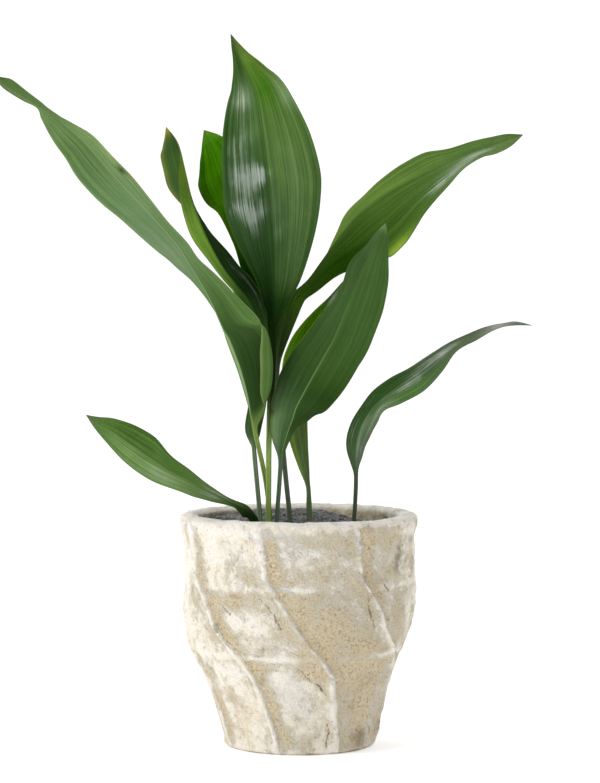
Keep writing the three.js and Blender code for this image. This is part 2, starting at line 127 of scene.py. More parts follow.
# Ledges: how far their level strays and over how many degrees, the height of the wall that leans in below
# them, and how far below the level their worn lip is and half its height
LEDGE_STRAY = 1.6
LEDGE_STRAY_SPAN = 14.0
LEDGE_REACH = 24.0
LEDGE_LIP_DROP = 2.0
LEDGE_LIP_HALF = 2.6

# The wall is fuller on its left side: the angle and height of the fullest place, how far round and up it
# reaches, the heights over which it starts, and by how much
SWELL_ANGLE = -92.0
SWELL_HEIGHT = 66.0
SWELL_REACH = 30.0
SWELL_START = (4.0, 30.0)
SWELL_TOP = 1.3
SWELL_LOW = 1.7

# Cracks in the cement: the angle from the viewer and the height of each of their points, half the width of
# the groove and of its dark line, and the millimetres that one degree spans on the wall
CRACKS = (
    ((-3, 78), (1, 75), (4, 70), (6, 65), (9, 64), (12, 60), (15, 55), (18, 52)),
    ((-20, 136), (-17, 131), (-13, 124), (-11, 117), (-9, 110)), ((19, 27), (21, 19), (20, 11), (20, 6)),
    ((-42, 128), (-40, 124), (-38, 121)), ((36, 134), (37, 128), (39, 118), (42, 108)),
    ((47, 145), (49, 142), (51, 139)),
)
CRACK_HALF = 0.8
CRACK_LINE_HALF = 1.2
DEGREE_SPAN = 1.6

# Patches of the finish, by angle, height, half width in degrees, half height and strength
SANDY = (
    (-60, 152, 5, 24, 0.35), (-28, 152, 10, 13, 0.5), (-14, 158, 4, 20, 0.7), (-6, 152, 8, 12, 0.4),
    (20, 154, 12, 17, 0.35), (33, 158, 4, 24, 0.5), (-36, 132, 14, 8, 0.7), (-47, 113, 6, 16, 0.7),
    (-38, 98, 7, 12, 0.6), (-17, 92, 10, 10, 0.35), (12, 112, 22, 26, 1.0), (30, 92, 14, 14, 0.9),
    (-24, 68, 6, 12, 0.6), (-17, 44, 5, 16, 0.6), (-12, 14, 8, 14, 0.6), (8, 72, 10, 8, 0.8),
    (44, 40, 14, 40, 0.8), (38, 68, 16, 10, 0.9), (-60, 60, 5, 20, 0.4), (-46, 48, 6, 8, 0.4),
    (2, 12, 12, 10, 0.4), (60, 120, 8, 30, 0.6), (-66, 20, 14, 16, 0.4), (100, 60, 26, 40, 0.8),
    (160, 120, 30, 30, 0.8), (-140, 60, 28, 34, 0.8), (-120, 150, 18, 16, 0.7), (120, 160, 16, 14, 0.6),
    (-175, 50, 20, 24, 0.6), (50, 160, 12, 22, 0.5), (6, 156, 8, 8, 0.4), (14, 182, 22, 11, 0.55),
    (46, 184, 20, 12, 0.5), (50, 30, 8, 26, 0.6), (78, 40, 14, 40, 0.7), (84, 160, 12, 18, 0.6),
    (-74, 46, 8, 12, 0.5),
)
LIPS = (
    (-42, 142, 20, 7, 1.0), (14, 142, 22, 7, 0.7), (-10, 146, 10, 8, 0.8), (-53, 83, 17, 7, 0.8),
    (-17, 83, 9, 7, 0.9), (30, 83, 10, 7, 0.3), (100, 142, 30, 7, 0.7), (170, 142, 30, 7, 0.6),
    (-140, 83, 30, 7, 0.7), (120, 83, 30, 7, 0.6),
)
COOL = (
    (-4, 178, 14, 18, 1.0), (24, 172, 6, 16, 0.9), (-4, 52, 13, 20, 1.0), (8, 30, 10, 14, 0.6),
    (12, 131, 7, 4, 0.9), (56, 118, 6, 22, 0.45), (-38, 178, 10, 16, 0.5), (-70, 160, 6, 30, 0.5),
    (66, 176, 8, 16, 0.5), (-56, 40, 9, 30, 0.3), (26, 12, 8, 8, 0.6), (-9, 126, 5, 8, 0.6),
    (-58, 118, 14, 55, 0.45), (-32, 160, 10, 18, 0.4), (130, 90, 18, 30, 0.8), (-160, 160, 24, 20, 0.9),
    (-110, 100, 14, 26, 0.7), (175, 20, 24, 14, 0.7),
)
# Stains; the spots low on the right side, such as the one at 52 degrees by the foot, are painted shade
STAINS_AND_SHADE = (
    (60, 166, 6, 16, 1.0), (34, 152, 3, 22, 0.5), (-45, 112, 3, 10, 0.7), (52, 14, 12, 12, 0.9),
    (-22, 66, 3, 8, 0.8), (44, 66, 10, 12, 0.5), (38, 44, 3, 14, 0.5), (-36, 136, 10, 3, 0.6),
    (62, 136, 6, 8, 0.5), (-19, 92, 4, 5, 0.6), (80, 20, 14, 16, 0.4), (150, 60, 14, 18, 0.6),
    (-150, 130, 10, 14, 0.6),
)
NICKS = ((-126, 188, 5, 4, 1.0), (118, 191, 3, 2, 0.6))
RIM_SAND = ((150, 190, 40, 12, 1.0),)

# Where bands of the finish start and end: the rim's pale band, limewash painted paler as painted light, by
# height and angle, the painted shadow on the ridges' flanks by angle, the painted contact shadow by height at
# the foot, and the painted shade by height and angle in the mouth, with its reach into the lip
RIM_PALE_HEIGHTS = (184, 191)
RIM_PALE_ANGLES = (-15, 10)
FLANK_SHADE_ANGLE = -75
FOOT_SHADE = (3.2, 0.6)
MOUTH_SHADE = (197.5, 193.0)
MOUTH_SHADE_ANGLES = (-45, -90)
MOUTH_SHADE_DEPTH = 5.5

# Wear of the lip and the inner wall: the heights over which the lumps of the top and of the wall begin, how
# deep these and the nicks are, and the angle, the reach, the heights and the depth of the stretch that is
# worn thin, and how far into the lip it goes
TOP_LUMPS = (194.5, 199.0)
WALL_LUMPS = (150.0, 175.0)
LUMP_DIP = -0.45
NICK_DEPTH = 1.6
THIN_ANGLE = -95.0
THIN_REACH = 42.0
THIN_HEIGHTS = (172.0, 184.0)
THIN_DEPTH = 4.0
THIN_WIDTH = 9.0

# Colours of the cement's layers
CREAM = (241, 230, 207)
CHALK = (224, 222, 214)
LIGHT_GRAIN = (252, 247, 234)
DARK_GRAIN = (168, 142, 104)
CREST_WHITE = (248, 244, 236)
STAIN_AND_SHADE = (120, 104, 80)
PIT = (96, 82, 62)
CRACK_LINE = (120, 98, 70)
DUST = (150, 138, 116)
CREASE = (170, 142, 98)

# Soil: its highest top, its clearance, how far it stands off the pot's floor, how far in from the wall its
# top starts, and how far it falls to the right, the left and the front, with where each fall starts and ends
SOIL_TOP = 195.5
SOIL_CLEAR = 0.6
SOIL_LIFT = 0.4
SOIL_EDGE = 0.7
SOIL_COLUMNS = 300
SOIL_RINGS = 110
FALL_RIGHT = (11.0, 5, 75)
FALL_LEFT = (4.0, 40, 85)
FALL_FRONT = (8.0, -10, 55)

# Loose crumbs: their number, seed, distance from the wall, least size and how much larger the largest is
CRUMB_COUNT = 1500
CRUMB_SEED = 12
CRUMB_MARGIN = 4.0
CRUMB_SIZE = 0.5
CRUMB_SPREAD = 1.5
ROOTSTOCK_BARK = (132, 106, 72)

# Leaves: the grid and how much its places crowd at the margins
LEAF_STEPS = 230
LEAF_ACROSS = 36
MARGIN_CROWDING = 1.25
MARGIN_SEAM = 0.992

# The foot below the soil, half the blade's thickness, the midrib behind the blade with the share of it that
# is a groove in front, the groove of the stalk with its width, and how the tip ends: how many stations short
# of the last, and over how many it tapers
FOOT_DEPTH = 20.0
BLADE_HALF_THICKNESS = 0.42
MIDRIB_RISE = 0.5
MIDRIB_HALF_WIDTH = 0.09
MIDRIB_GROOVE = 0.6
STALK_GROOVE = 0.35
STALK_GROOVE_WIDTH = 0.22
TIP_SHORT = 0.015
TIP_TAPER = 2.2

# How much a plain half arches, how far the midrib is read to either side for its direction, the first leaf's
# seed, and the half blade's widths over which the pleats and the veins begin
PLAIN_ARCH = 0.06
DIRECTION_REACH = 0.15
FIRST_LEAF_SEED = 100
PLEATED_WIDTHS = (2.0, 12.0)
VEINED_WIDTHS = (3.0, 15.0)

# The surface's own coordinates: millimetres along a leaf for 1, and how far aside the back's are kept
UV_LENGTH = 300.0
BACK_UV_SHIFT = 3.0
# Whitish colour that paints the highlight into a leaf's colour where its coat shines
PAINTED_HIGHLIGHT = (206, 216, 210)

# Each leaf's stations run from the soil to the tip: the midrib's place x, y, z, then how far the left margin
# lies across and forward of it, then the same for the right margin, and where a margin is folded over, the
# bend that each half passes on its way. blade gives the heights between which the stalk widens into the
# blade, and wave is how far the margins wave.
LEAVES = {
    "leaf_far_left": dict(stalk=2.0, wave=0.8, blade=(266, 292), rows=(
        (-25, -11, 194, 0, 0, 0, 0), (-29.5, -18, 231, 0, 0, 0, 0), (-37, -30, 267, 1, -3, 3, 0),
        (-41, -37, 284, 0, -10, 13, 1), (-46, -42, 303, -1, -18, 13, 9, 0, -9, 36, 0),
        (-51.5, -46, 322, -2, -24, 19, 10, 0, -12, 48, 0),
        (-56.5, -48, 336, -2, -26, 24.5, 10, 0, -13, 51, 0),
        (-61.5, -50, 350, -2, -28, 31, 6, 0, -14, 43, 1), (-65, -51, 359, -1, -29, 31, 4),
        (-75, -54, 383, 3.5, -30, 21, 16), (-84, -56, 400, 7, -30, 15, 23),
        (-93, -58, 415, 12.5, -29, 10, 27), (-101.5, -60, 429, 17, -27, 8.5, 29),
        (-117, -64, 447, 20, -26, 7.5, 30), (-133, -68, 465, 22.5, -25, 9, 30),
        (-150, -72, 483, 25, -22, 11, 28), (-165, -76, 500, 25, -19, 10, 25),
        (-178, -79, 515, 21.5, -17, 9, 21), (-190, -82, 526, 18, -14, 5.5, 17),
        (-200, -84, 534.5, 13.5, -12, 2.5, 13), (-209, -86, 540.5, 7.5, -11, 2.5, 10),
        (-216, -87, 544.5, 2, -9, 4, 8), (-227.5, -88, 551.5, 3, -6, 5.5, 6), (-241, -89, 560, 3, -4, 7, 3),
        (-248, -90, 565, 1.5, -2, 3.5, 1), (-255, -91, 569, 0, 0, 0, 0),
    )),
    "leaf_twisted": dict(stalk=2.0, wave=0.5, blade=(248, 268), rows=(
        (-33.7, -10, 194, 0, 0, 0, 0), (-38.8, -4.5, 250, 1, 0, 1, 0), (-39, -4, 260, 5, -2, 3, -4),
        (-38, -3, 273, 9, -4, 5, -12), (-36, -3, 293, 8, -6, 7, -16), (-33.5, -3, 318, 8.5, -6, 7, -18),
        (-33, -2, 344, 9, -8, 6, -19), (-35.5, 0, 364, 8, -14, 7, -19), (-43, 5, 381, 7.5, -17, 10, -18),
        (-55, 14, 396, 7, -18, 12.5, -17), (-65, 23, 408, 6, -19, 12.5, -16),
        (-75.5, 34, 425.5, 8, -18, 10.5, -17), (-84, 43, 443, 12, -12, 5.5, -19),
        (-89.5, 50, 457.5, 12, -2, 1, -20), (-94, 56, 471, 10, 8, -9.5, -17),
        (-98, 62, 486.5, 6.5, 13, -18.5, -9), (-102, 68, 501.5, 1.5, 14, -19, -5),
        (-106, 73, 516, 0, 11, -18, -3), (-111, 77, 525.5, 0, 6, -12, -2), (-118, 80, 534, 0, 0, 0, 0),
    )),
    "leaf_back_left": dict(stalk=1.8, wave=1.2, blade=(345, 372), rows=(
        (-27.6, 8, 192, 0, 0, 0, 0), (-27, 13, 265, 0, 0, 0, 0), (-25.5, 20, 335, 0, 0, 0, 0),
        (-26.5, 27, 362, 5, 0, 5, 0), (-31.5, 35, 386, 10, -3, 10, -4), (-38.5, 44, 412, 13, -6, 14.5, -6),
        (-44, 51, 436, 15, -8, 18.5, -8), (-52.5, 58, 465, 20.5, -8, 24, -9),
        (-59.5, 63, 482, 28, -7, 26, -9), (-65, 66, 497, 27, -6, 23, -8), (-72, 70, 511, 18.5, -4, 16, -6),
        (-78.5, 73, 522, 9.5, -2, 9, -3), (-84.5, 75, 531, 0, 0, 0, 0),
    )),
    "leaf_tall": dict(stalk=2.4, wave=1.0, blade=(345, 372), rows=(
        (-26.7, -27, 195, 0, 0, 0, 0), (-26.4, -26.5, 230, 0, 0, 0, 0), (-26, -25, 267, 0, 0, 0, 0),
        (-23.2, -19, 313, 0, 0, 0, 0), (-22.5, -13, 355, 2.5, 0, 2.5, 0), (-22, -11, 368, 5, -2, 7, -2),
        (-22, -9, 383, 10, -5, 13.5, -4), (-22, -7, 401.5, 16, -9, 23.5, -6),
        (-23.5, -4, 435, 31, -15, 36, -8), (-26, -1, 464, 38.5, -18, 44, -9), (-29, 1, 489, 38, -19, 47, -9),
        (-33, 2, 524, 34, -18, 41, -8), (-37.5, 2, 556.5, 25, -13, 28.5, -6),
        (-43.5, 1, 574, 15.5, -8, 17.5, -4), (-50.5, 0, 589, 7, -4, 9, -2), (-55, -1, 600, 3.5, -2, 3.8, -1),
        (-59, -2, 610, 0, 0, 0, 0),
    )),
    "leaf_upper_right": dict(stalk=2.1, wave=1.0, blade=(306, 340), rows=(
        (-8, -18, 193.5, 0, 0, 0, 0), (-12.3, -14, 235.5, 0, 0, 0, 0), (-18, -7, 297, 0, 0, 0, 0),
        (-19.5, -3, 314, 2.5, -1, 2, 0), (-19, 0, 331, 4.5, -4, 3, -4), (-16.5, 4, 348, 7, -7, 6, -6),
        (-11, 10, 369.5, 10, -9, 9, -10), (-3.5, 16, 388.5, 4.5, -16, 10.5, -14),
        (8, 21, 401, -3, -25, 13, -16), (21.5, 27, 419.5, -2.5, -28, 20.5, -16),
        (37.5, 34, 440, 3, -29, 38, -14, 2.5, -14, 21, 0), (52, 40, 456, 8.5, -28, 46, -13, 5, -14, 26, 2),
        (70, 47, 470, 10.5, -27, 45, -12, 7, -13, 25, 2), (87.5, 54, 481, 14, -25, 38, -11),
        (105, 60, 490, 16.5, -20, 28, -10), (123, 67, 499, 16.3, -17, 20.5, -9),
        (141, 74, 507, 10.5, -14, 12, -8), (159, 80, 513.5, 9.5, -9, 7, -6),
        (173, 84, 518.5, 7.5, -6, 8, -4), (186, 88, 523, 5.5, -3, 6, -2), (198.5, 92, 527.5, 0, 0, 0, 0),
    )),
    "leaf_back_centre": dict(stalk=2.4, wave=0.6, blade=(205, 232), rows=(
        (8.6, -5, 191, 0, 0, 0, 0), (8, 1, 209, 0.5, 0, 0.5, 0), (7.8, 8, 222, 2.5, -2, 1, -4),
        (7.5, 16, 240, 9, -4, -0.5, -14), (6.5, 23, 260.5, 15, -6, -1, -19), (5.5, 35, 286, 20, -8, 1, -22),
        (6.5, 46, 320, 22, -9, 11, -19), (9.5, 50, 336, 20.5, -9, 17, -14),
        (16, 54, 351.5, 17.5, -8, 17.5, -8), (23, 57, 366.5, 12, -6, 13, -5), (30, 59, 380.5, 6, -3, 7, -3),
        (38, 60, 398, 0, 0, 0, 0),
    )),
    "leaf_front_right": dict(stalk=1.9, wave=1.0, blade=(238, 258), rows=(
        (-19.6, -37, 195.5, 0, 0, 0, 0), (-17.6, -38.5, 222, 0, 0, 0, 0),
        (-15.6, -40, 250, 3.5, -1, 2.5, -1), (-13.5, -42, 260, 10, -5, 3, -4),
        (-9, -44, 274.5, 17, -10, 6, -9), (-6, -46, 282.5, 19.5, -13, 13, -12),
        (-3, -48, 292.5, 22, -16, 21.5, -13), (3.5, -52, 305.5, 25, -19, 27, -15),
        (12, -58, 321.5, 24.5, -22, 29.5, -16), (21, -65, 338, 21.5, -24, 30, -17),
        (29, -72, 353, 18.5, -25, 30.5, -15), (35.5, -80, 370, 11, -25, 30.5, -14),
        (42, -87, 386.5, 10, -22, 29, -12), (50.5, -94, 407.5, 11, -17, 24, -9),
        (58.5, -98, 425.5, 5, -10, 16, -6), (65.5, -100, 438.5, 3, -5, 8.5, -3), (71, -101, 448, 0, 0, 0, 0),
    )),
    "leaf_low_left": dict(stalk=3.8, wave=0.9, blade=(196, 205), rows=(
        (-37.5, -24, 188, 0, 0, 0, 0), (-39.5, -27.5, 197, 1.5, 0, 1.5, 0), (-44.5, -33, 203.5, 6, 1, 4, 0),
        (-51, -40, 208.5, 4, 3, 3.2, -3), (-58, -46, 212.5, 2, 6, 2, -6), (-67.5, -54, 218, 3.6, 9, 3, -9),
        (-80, -62, 225, 6, 13, 5, -12), (-93.5, -71, 233.5, 8.5, 17, 7.5, -15),
        (-109, -80, 242.5, 10.5, 20, 10.5, -18), (-124.5, -88, 253, 13, 20, 15.5, -18),
        (-139.5, -96, 264, 12.5, 17, 14.5, -15), (-154, -103, 275, 9.2, 12, 10.5, -11),
        (-165.5, -108, 283, 5, 6, 5, -5), (-175.5, -112, 290.5, 0, 0, 0, 0),
    )),
    "leaf_low_right": dict(stalk=1.8, wave=0.8, blade=(226, 250), rows=(
        (46.3, -7, 188, 0, 0, 0, 0), (47.7, -9, 211, 0, 0, 0, 0), (48.3, -10, 230, 1.7, 0, 1.7, 0),
        (47.6, -12, 244, 5, -4, 5, 0), (48.3, -14, 259, 8.6, -9, 8, 3), (52, -17, 273.5, 8.5, -14, 10, 7),
        (59, -20, 286.5, 8, -17, 10, 10), (68, -23, 297, 9.3, -18, 8, 14),
        (81.5, -26, 307.5, 9, -19, 12, 15), (97.5, -29, 318.5, 7, -19, 14, 13),
        (114.5, -32, 331.5, 5.8, -17, 10.5, 12), (131, -35, 344, 4, -14, 4, 11),
        (148, -37, 353, 3.2, -10, 3.6, 8), (160.5, -39, 358.5, 2.6, -7, 2, 6),
        (171.5, -40, 362, 1.4, -5, 1.2, 4), (183, -41, 363.2, 1.8, -3, 1.2, 2),
        (197, -42, 361.8, 0, 0, 0, 0),
    )),
}
# How each leaf is coloured. tints gives, by share of the blade's length, the left and right half on the
# front, with painted light and shade in them: a half that faces the light is painted lighter, one that
# turns away or lies under other leaves darker, and where light shines through a leaf it is painted bright
# green. back is the other face, stalk the stalk, which turns into stalk_top where that is given, rib the
# midrib, edge the margins with their width. rib_share is how much of the rib's colour shows at the blade's
# foot and rib_fade how fast it goes towards the tip. fine is the number of veins and veins their contrast,
# blend is how far the halves' tints run into each other, and rough is the roughness and gloss the sheen.
# marks and back_marks lay soft patches of colour over the front and the back, some of them painted
# highlights, light or shade, and shine raises the front's coat and paints a whitish highlight into its
# colour: each has its place across (-1 to 1) and along the blade (0 to 1), its half width, its half
# length, then a mark's colour, and its strength. What a leaf leaves out is as in the plain look.
PLAIN_LOOK = dict(veins=0.9, blend=0.06, rib_fade=1.2, marks=(), back_marks=(), shine=())
LOOKS = {
    "leaf_far_left": dict(
        slot="leaf_light", fine=0.5, veins=0.65, rough=0.5, gloss=0.04, stalk=(116, 138, 84),
        stalk_top=(140, 168, 88), rib=(146, 172, 122), rib_share=0.7, rib_fade=0.5, edge=(116, 142, 82),
        edge_width=0.02, back=(82, 112, 58),
        tints=(
            (0.0, (72, 96, 48), (44, 66, 28)), (0.1, (86, 114, 64), (46, 72, 32)),
            (0.2, (84, 114, 62), (50, 76, 36)), (0.32, (86, 112, 68), (76, 104, 56)),
            (0.45, (98, 122, 86), (90, 116, 74)), (0.6, (90, 118, 76), (92, 116, 76)),
            (0.75, (82, 110, 64), (98, 124, 76)), (0.88, (94, 120, 74), (80, 106, 60)),
            (1.0, (86, 112, 68), (80, 106, 56)),
        ),
        marks=(
            # the first mark is painted shade on the inner right of the blade's foot
            (0.3, 0.14, 0.3, 0.16, (38, 60, 27), 0.9), (0.5, 0.27, 0.2, 0.07, (62, 90, 44), 0.6),
            (0.8, 0.14, 0.3, 0.12, (104, 140, 74), 0.9), (-0.75, 0.44, 0.2, 0.1, (104, 124, 98), 0.5),
            (0.97, 0.645, 0.07, 0.016, (118, 98, 60), 0.7), (0.8, 0.665, 0.16, 0.012, (44, 52, 34), 1.0),
            (0.9, 0.71, 0.12, 0.04, (128, 152, 88), 0.35),
        ),
        shine=((-0.7, 0.4, 0.3, 0.07, 0.2), (0.4, 0.42, 0.2, 0.06, 0.25)),
    ),
    "leaf_twisted": dict(
        slot="leaf_green", fine=0.3, rough=0.42, gloss=0.05, stalk=(112, 130, 102), rib=(60, 88, 34),
        rib_share=0.3, edge=(90, 116, 52), edge_width=0.02, back=(56, 82, 42),
        tints=(
            (0.0, (80, 102, 70), (70, 92, 56)), (0.08, (50, 76, 40), (50, 76, 36)),
            (0.3, (40, 66, 26), (60, 90, 40)), (0.45, (36, 62, 22), (24, 46, 18)),
            (0.62, (78, 108, 38), (34, 58, 26)), (0.75, (96, 130, 48), (44, 70, 30)),
            (0.85, (110, 144, 50), (56, 86, 38)), (0.95, (96, 124, 60), (74, 104, 44)),
            (1.0, (160, 150, 66), (150, 140, 56)),
        ),
        marks=(
            (-0.9, 0.72, 0.2, 0.2, (104, 134, 52), 0.5), (0.0, 1.0, 1.5, 0.035, (158, 132, 50), 0.9),
            (1.0, 0.9, 0.16, 0.1, (140, 140, 60), 0.6), (-1.0, 0.92, 0.14, 0.08, (150, 150, 60), 0.6),
        ),
        back_marks=(
            (0.0, 1.0, 1.5, 0.022, (166, 160, 66), 0.9), (1.0, 0.9, 0.16, 0.1, (140, 146, 66), 0.7),
            (-1.0, 0.88, 0.14, 0.1, (130, 140, 70), 0.6), (0.0, 0.88, 1.0, 0.06, (64, 94, 42), 0.8),
            (0.0, 0.4, 1.2, 0.16, (46, 72, 36), 0.6),
        ),
        shine=((0.6, 0.85, 0.3, 0.06, 0.3), (0.6, 0.5, 0.3, 0.14, 0.25)),
    ),
    "leaf_back_left": dict(
        slot="leaf_bright", fine=0.4, rough=0.5, gloss=0.03, stalk=(48, 80, 26), rib=(60, 116, 10),
        rib_share=0.3, edge=(84, 130, 34), edge_width=0.03, back=(40, 92, 4),
        # painted light: the light shining through this leaf is painted as bright green, darker towards its
        # foot
        tints=(
            (0.0, (16, 40, 6), (14, 36, 4)), (0.3, (18, 48, 6), (20, 52, 4)),
            (0.55, (46, 84, 4), (38, 80, 4)), (0.8, (64, 118, 6), (60, 114, 6)),
            (0.93, (60, 118, 10), (66, 126, 12)), (1.0, (96, 140, 44), (106, 156, 46)),
        ),
    ),
    "leaf_tall": dict(
        slot="leaf_green", fine=0.8, blend=0.3, rough=0.42, gloss=0.06, stalk=(150, 180, 98),
        stalk_top=(34, 58, 20), rib=(30, 58, 20), rib_share=0.4, edge=(72, 106, 46), edge_width=0.015,
        back=(82, 112, 62),
        tints=(
            (0.0, (22, 44, 14), (24, 48, 16)), (0.12, (20, 44, 14), (34, 66, 22)),
            (0.2, (32, 60, 22), (70, 100, 50)), (0.3, (46, 72, 36), (66, 98, 52)),
            (0.45, (58, 86, 48), (76, 106, 56)), (0.6, (58, 88, 46), (84, 116, 60)),
            (0.7, (58, 88, 42), (80, 114, 52)), (0.8, (62, 94, 46), (70, 108, 32)),
            (0.9, (62, 92, 40), (100, 136, 50)), (1.0, (74, 96, 52), (92, 112, 60)),
        ),
        marks=(
            (-0.12, 0.4, 0.14, 0.3, (38, 68, 30), 0.6), (0.5, 0.45, 0.16, 0.16, (104, 134, 82), 0.5),
            (0.8, 0.35, 0.1, 0.2, (96, 124, 66), 0.4), (0.92, 0.4, 0.06, 0.4, (50, 80, 32), 0.5),
            (-0.35, 0.9, 0.3, 0.06, (44, 70, 30), 0.6), (0.82, 0.78, 0.2, 0.05, (136, 162, 114), 0.8),
            # the grey mark at -0.5 across and 0.79 along is a painted highlight
            (-0.3, 0.68, 0.35, 0.05, (90, 120, 72), 0.5), (-0.5, 0.79, 0.35, 0.05, (122, 142, 108), 0.55),
            (0.1, 0.42, 0.1, 0.06, (96, 118, 84), 0.5), (0.4, 0.81, 0.26, 0.05, (66, 114, 26), 0.8),
            (-0.9, 0.66, 0.08, 0.2, (42, 70, 32), 0.6),
        ),
        shine=(
            (-0.48, 0.525, 0.34, 0.048, 0.85), (-0.12, 0.53, 0.16, 0.03, 1.0),
            (-0.5, 0.43, 0.34, 0.035, 0.7), (-0.5, 0.79, 0.35, 0.05, 0.3), (-0.57, 0.67, 0.32, 0.09, 0.44),
            (-0.4, 0.4, 0.25, 0.06, 0.5), (0.2, 0.36, 0.16, 0.08, 0.35),
        ),
    ),
    "leaf_upper_right": dict(
        slot="leaf_green", fine=0.55, veins=0.7, rough=0.46, gloss=0.04, stalk=(98, 112, 92),
        rib=(72, 104, 48), rib_share=0.15, edge=(104, 132, 66), edge_width=0.015, back=(46, 84, 12),
        tints=(
            (0.0, (66, 90, 42), (50, 70, 34)), (0.12, (58, 84, 40), (44, 62, 28)),
            (0.22, (56, 88, 30), (52, 80, 22)), (0.3, (80, 110, 46), (40, 68, 14)),
            (0.4, (100, 132, 58), (34, 68, 6)), (0.55, (106, 138, 62), (64, 98, 34)),
            (0.7, (90, 122, 54), (74, 106, 46)), (0.85, (84, 116, 56), (90, 120, 66)),
            (1.0, (90, 116, 62), (104, 130, 76)),
        ),
        marks=(
            # the bright yellow-green mark at the margin paints the light on the bent strip; the grey one near
            # the tip is a painted highlight
            (-0.7, 0.16, 0.12, 0.1, (92, 120, 70), 0.4), (1.0, 0.54, 0.15, 0.075, (146, 182, 62), 0.95),
            (0.6, 0.81, 0.3, 0.05, (150, 168, 138), 0.45), (0.1, 0.5, 0.2, 0.2, (74, 106, 42), 0.5),
        ),
        shine=((0.6, 0.76, 0.25, 0.09, 0.38), (0.3, 0.86, 0.35, 0.05, 0.65)),
    ),
    "leaf_back_centre": dict(
        slot="leaf_green", fine=0.4, rough=0.46, gloss=0.05, stalk=(98, 118, 80), rib=(56, 80, 42),
        rib_share=0.3, edge=(98, 134, 30), edge_width=0.05, back=(70, 94, 48),
        # the bright green from 0.7 to 0.86 paints the light shining through the blade
        tints=(
            (0.0, (92, 114, 76), (92, 112, 76)), (0.12, (84, 106, 66), (86, 108, 72)),
            (0.3, (82, 106, 58), (82, 106, 62)), (0.5, (66, 96, 36), (50, 76, 34)),
            (0.7, (64, 106, 8), (60, 96, 14)), (0.86, (64, 104, 12), (60, 88, 34)),
            (1.0, (78, 104, 56), (84, 108, 66)),
        ),
        marks=(
            # the bright mark on the left margin paints the light shining through it; the grey one at the tip
            # is a painted highlight
            (-0.85, 0.2, 0.14, 0.14, (120, 148, 56), 0.8), (-0.1, 0.2, 0.08, 0.14, (52, 76, 34), 0.5),
            (-0.3, 0.94, 0.3, 0.04, (112, 132, 100), 0.5),
        ),
        shine=((-0.3, 0.92, 0.4, 0.06, 0.6),),
    ),
    "leaf_front_right": dict(
        slot="leaf_dark", fine=0.6, veins=0.55, rough=0.44, gloss=0.04, stalk=(90, 114, 88),
        rib=(124, 156, 90), rib_share=0.95, rib_fade=2.2, edge=(84, 112, 60), edge_width=0.012,
        back=(52, 78, 38),
        tints=(
            (0.0, (68, 92, 64), (80, 106, 56)), (0.12, (58, 84, 50), (70, 98, 52)),
            (0.2, (58, 84, 50), (52, 78, 38)), (0.3, (44, 68, 32), (44, 70, 28)),
            (0.4, (48, 72, 32), (56, 86, 36)), (0.55, (52, 78, 38), (60, 90, 42)),
            (0.7, (56, 82, 42), (62, 92, 44)), (0.85, (50, 74, 38), (62, 92, 44)),
            (1.0, (78, 104, 62), (66, 94, 48)),
        ),
        marks=(
            # the pale mark by the left margin's foot and the pale tip are painted light
            (-0.75, 0.13, 0.35, 0.1, (104, 130, 88), 0.75), (0.3, 0.17, 0.3, 0.04, (38, 58, 28), 0.5),
            (-0.6, 0.86, 0.3, 0.08, (52, 78, 40), 0.4), (0.0, 0.99, 1.2, 0.02, (126, 152, 96), 0.7),
        ),
        shine=((-0.45, 0.15, 0.35, 0.07, 0.12), (-0.5, 0.3, 0.3, 0.05, 0.22)),
    ),
    "leaf_low_left": dict(
        slot="leaf_green", fine=0.5, veins=1.3, rough=0.44, gloss=0.05, stalk=(38, 66, 22),
        rib=(110, 140, 84), rib_share=0.35, edge=(96, 126, 70), edge_width=0.02, back=(60, 90, 40),
        tints=(
            (0.0, (38, 64, 22), (34, 56, 20)), (0.12, (60, 86, 40), (90, 116, 68)),
            (0.3, (92, 122, 64), (104, 132, 78)), (0.45, (120, 152, 88), (94, 132, 60)),
            (0.6, (128, 160, 98), (96, 134, 66)), (0.75, (120, 156, 90), (86, 122, 56)),
            (0.9, (104, 144, 74), (96, 132, 62)), (1.0, (112, 134, 90), (106, 130, 88)),
        ),
        marks=(
            # the two pale marks are painted highlights where the coat shines
            (-0.5, 0.56, 0.22, 0.1, (150, 174, 130), 0.3), (-0.7, 0.34, 0.2, 0.08, (126, 150, 104), 0.3),
            (0.02, 0.55, 0.12, 0.2, (58, 92, 38), 0.5),
        ),
        shine=((-0.5, 0.56, 0.35, 0.12, 0.5), (-0.4, 0.28, 0.4, 0.1, 0.42), (0.3, 0.26, 0.3, 0.12, 0.42)),
    ),
    "leaf_low_right": dict(
        slot="leaf_dark", fine=0.5, veins=1.3, rough=0.42, gloss=0.06, stalk=(84, 100, 76), rib=(56, 86, 42),
        rib_share=0.5, edge=(96, 116, 84), edge_width=0.02, back=(66, 90, 56),
        tints=(
            (0.0, (76, 94, 68), (96, 110, 90)), (0.12, (80, 106, 66), (98, 120, 90)),
            (0.22, (70, 102, 54), (118, 140, 108)), (0.32, (60, 96, 48), (116, 138, 102)),
            (0.42, (62, 94, 46), (80, 108, 62)), (0.52, (78, 100, 66), (76, 102, 66)),
            (0.62, (88, 108, 78), (78, 102, 64)), (0.75, (82, 98, 72), (92, 108, 80)),
            (1.0, (116, 126, 112), (120, 130, 118)),
        ),
        marks=(
            # the first, whitish mark paints the highlight on the fold; the last paints the highlight across
            # the twisted tip
            (0.62, 0.3, 0.08, 0.05, (168, 182, 158), 0.6), (0.2, 0.31, 0.3, 0.06, (58, 90, 48), 0.7),
            (0.55, 0.2, 0.16, 0.1, (60, 88, 52), 0.6), (0.97, 0.2, 0.12, 0.12, (92, 84, 90), 0.7),
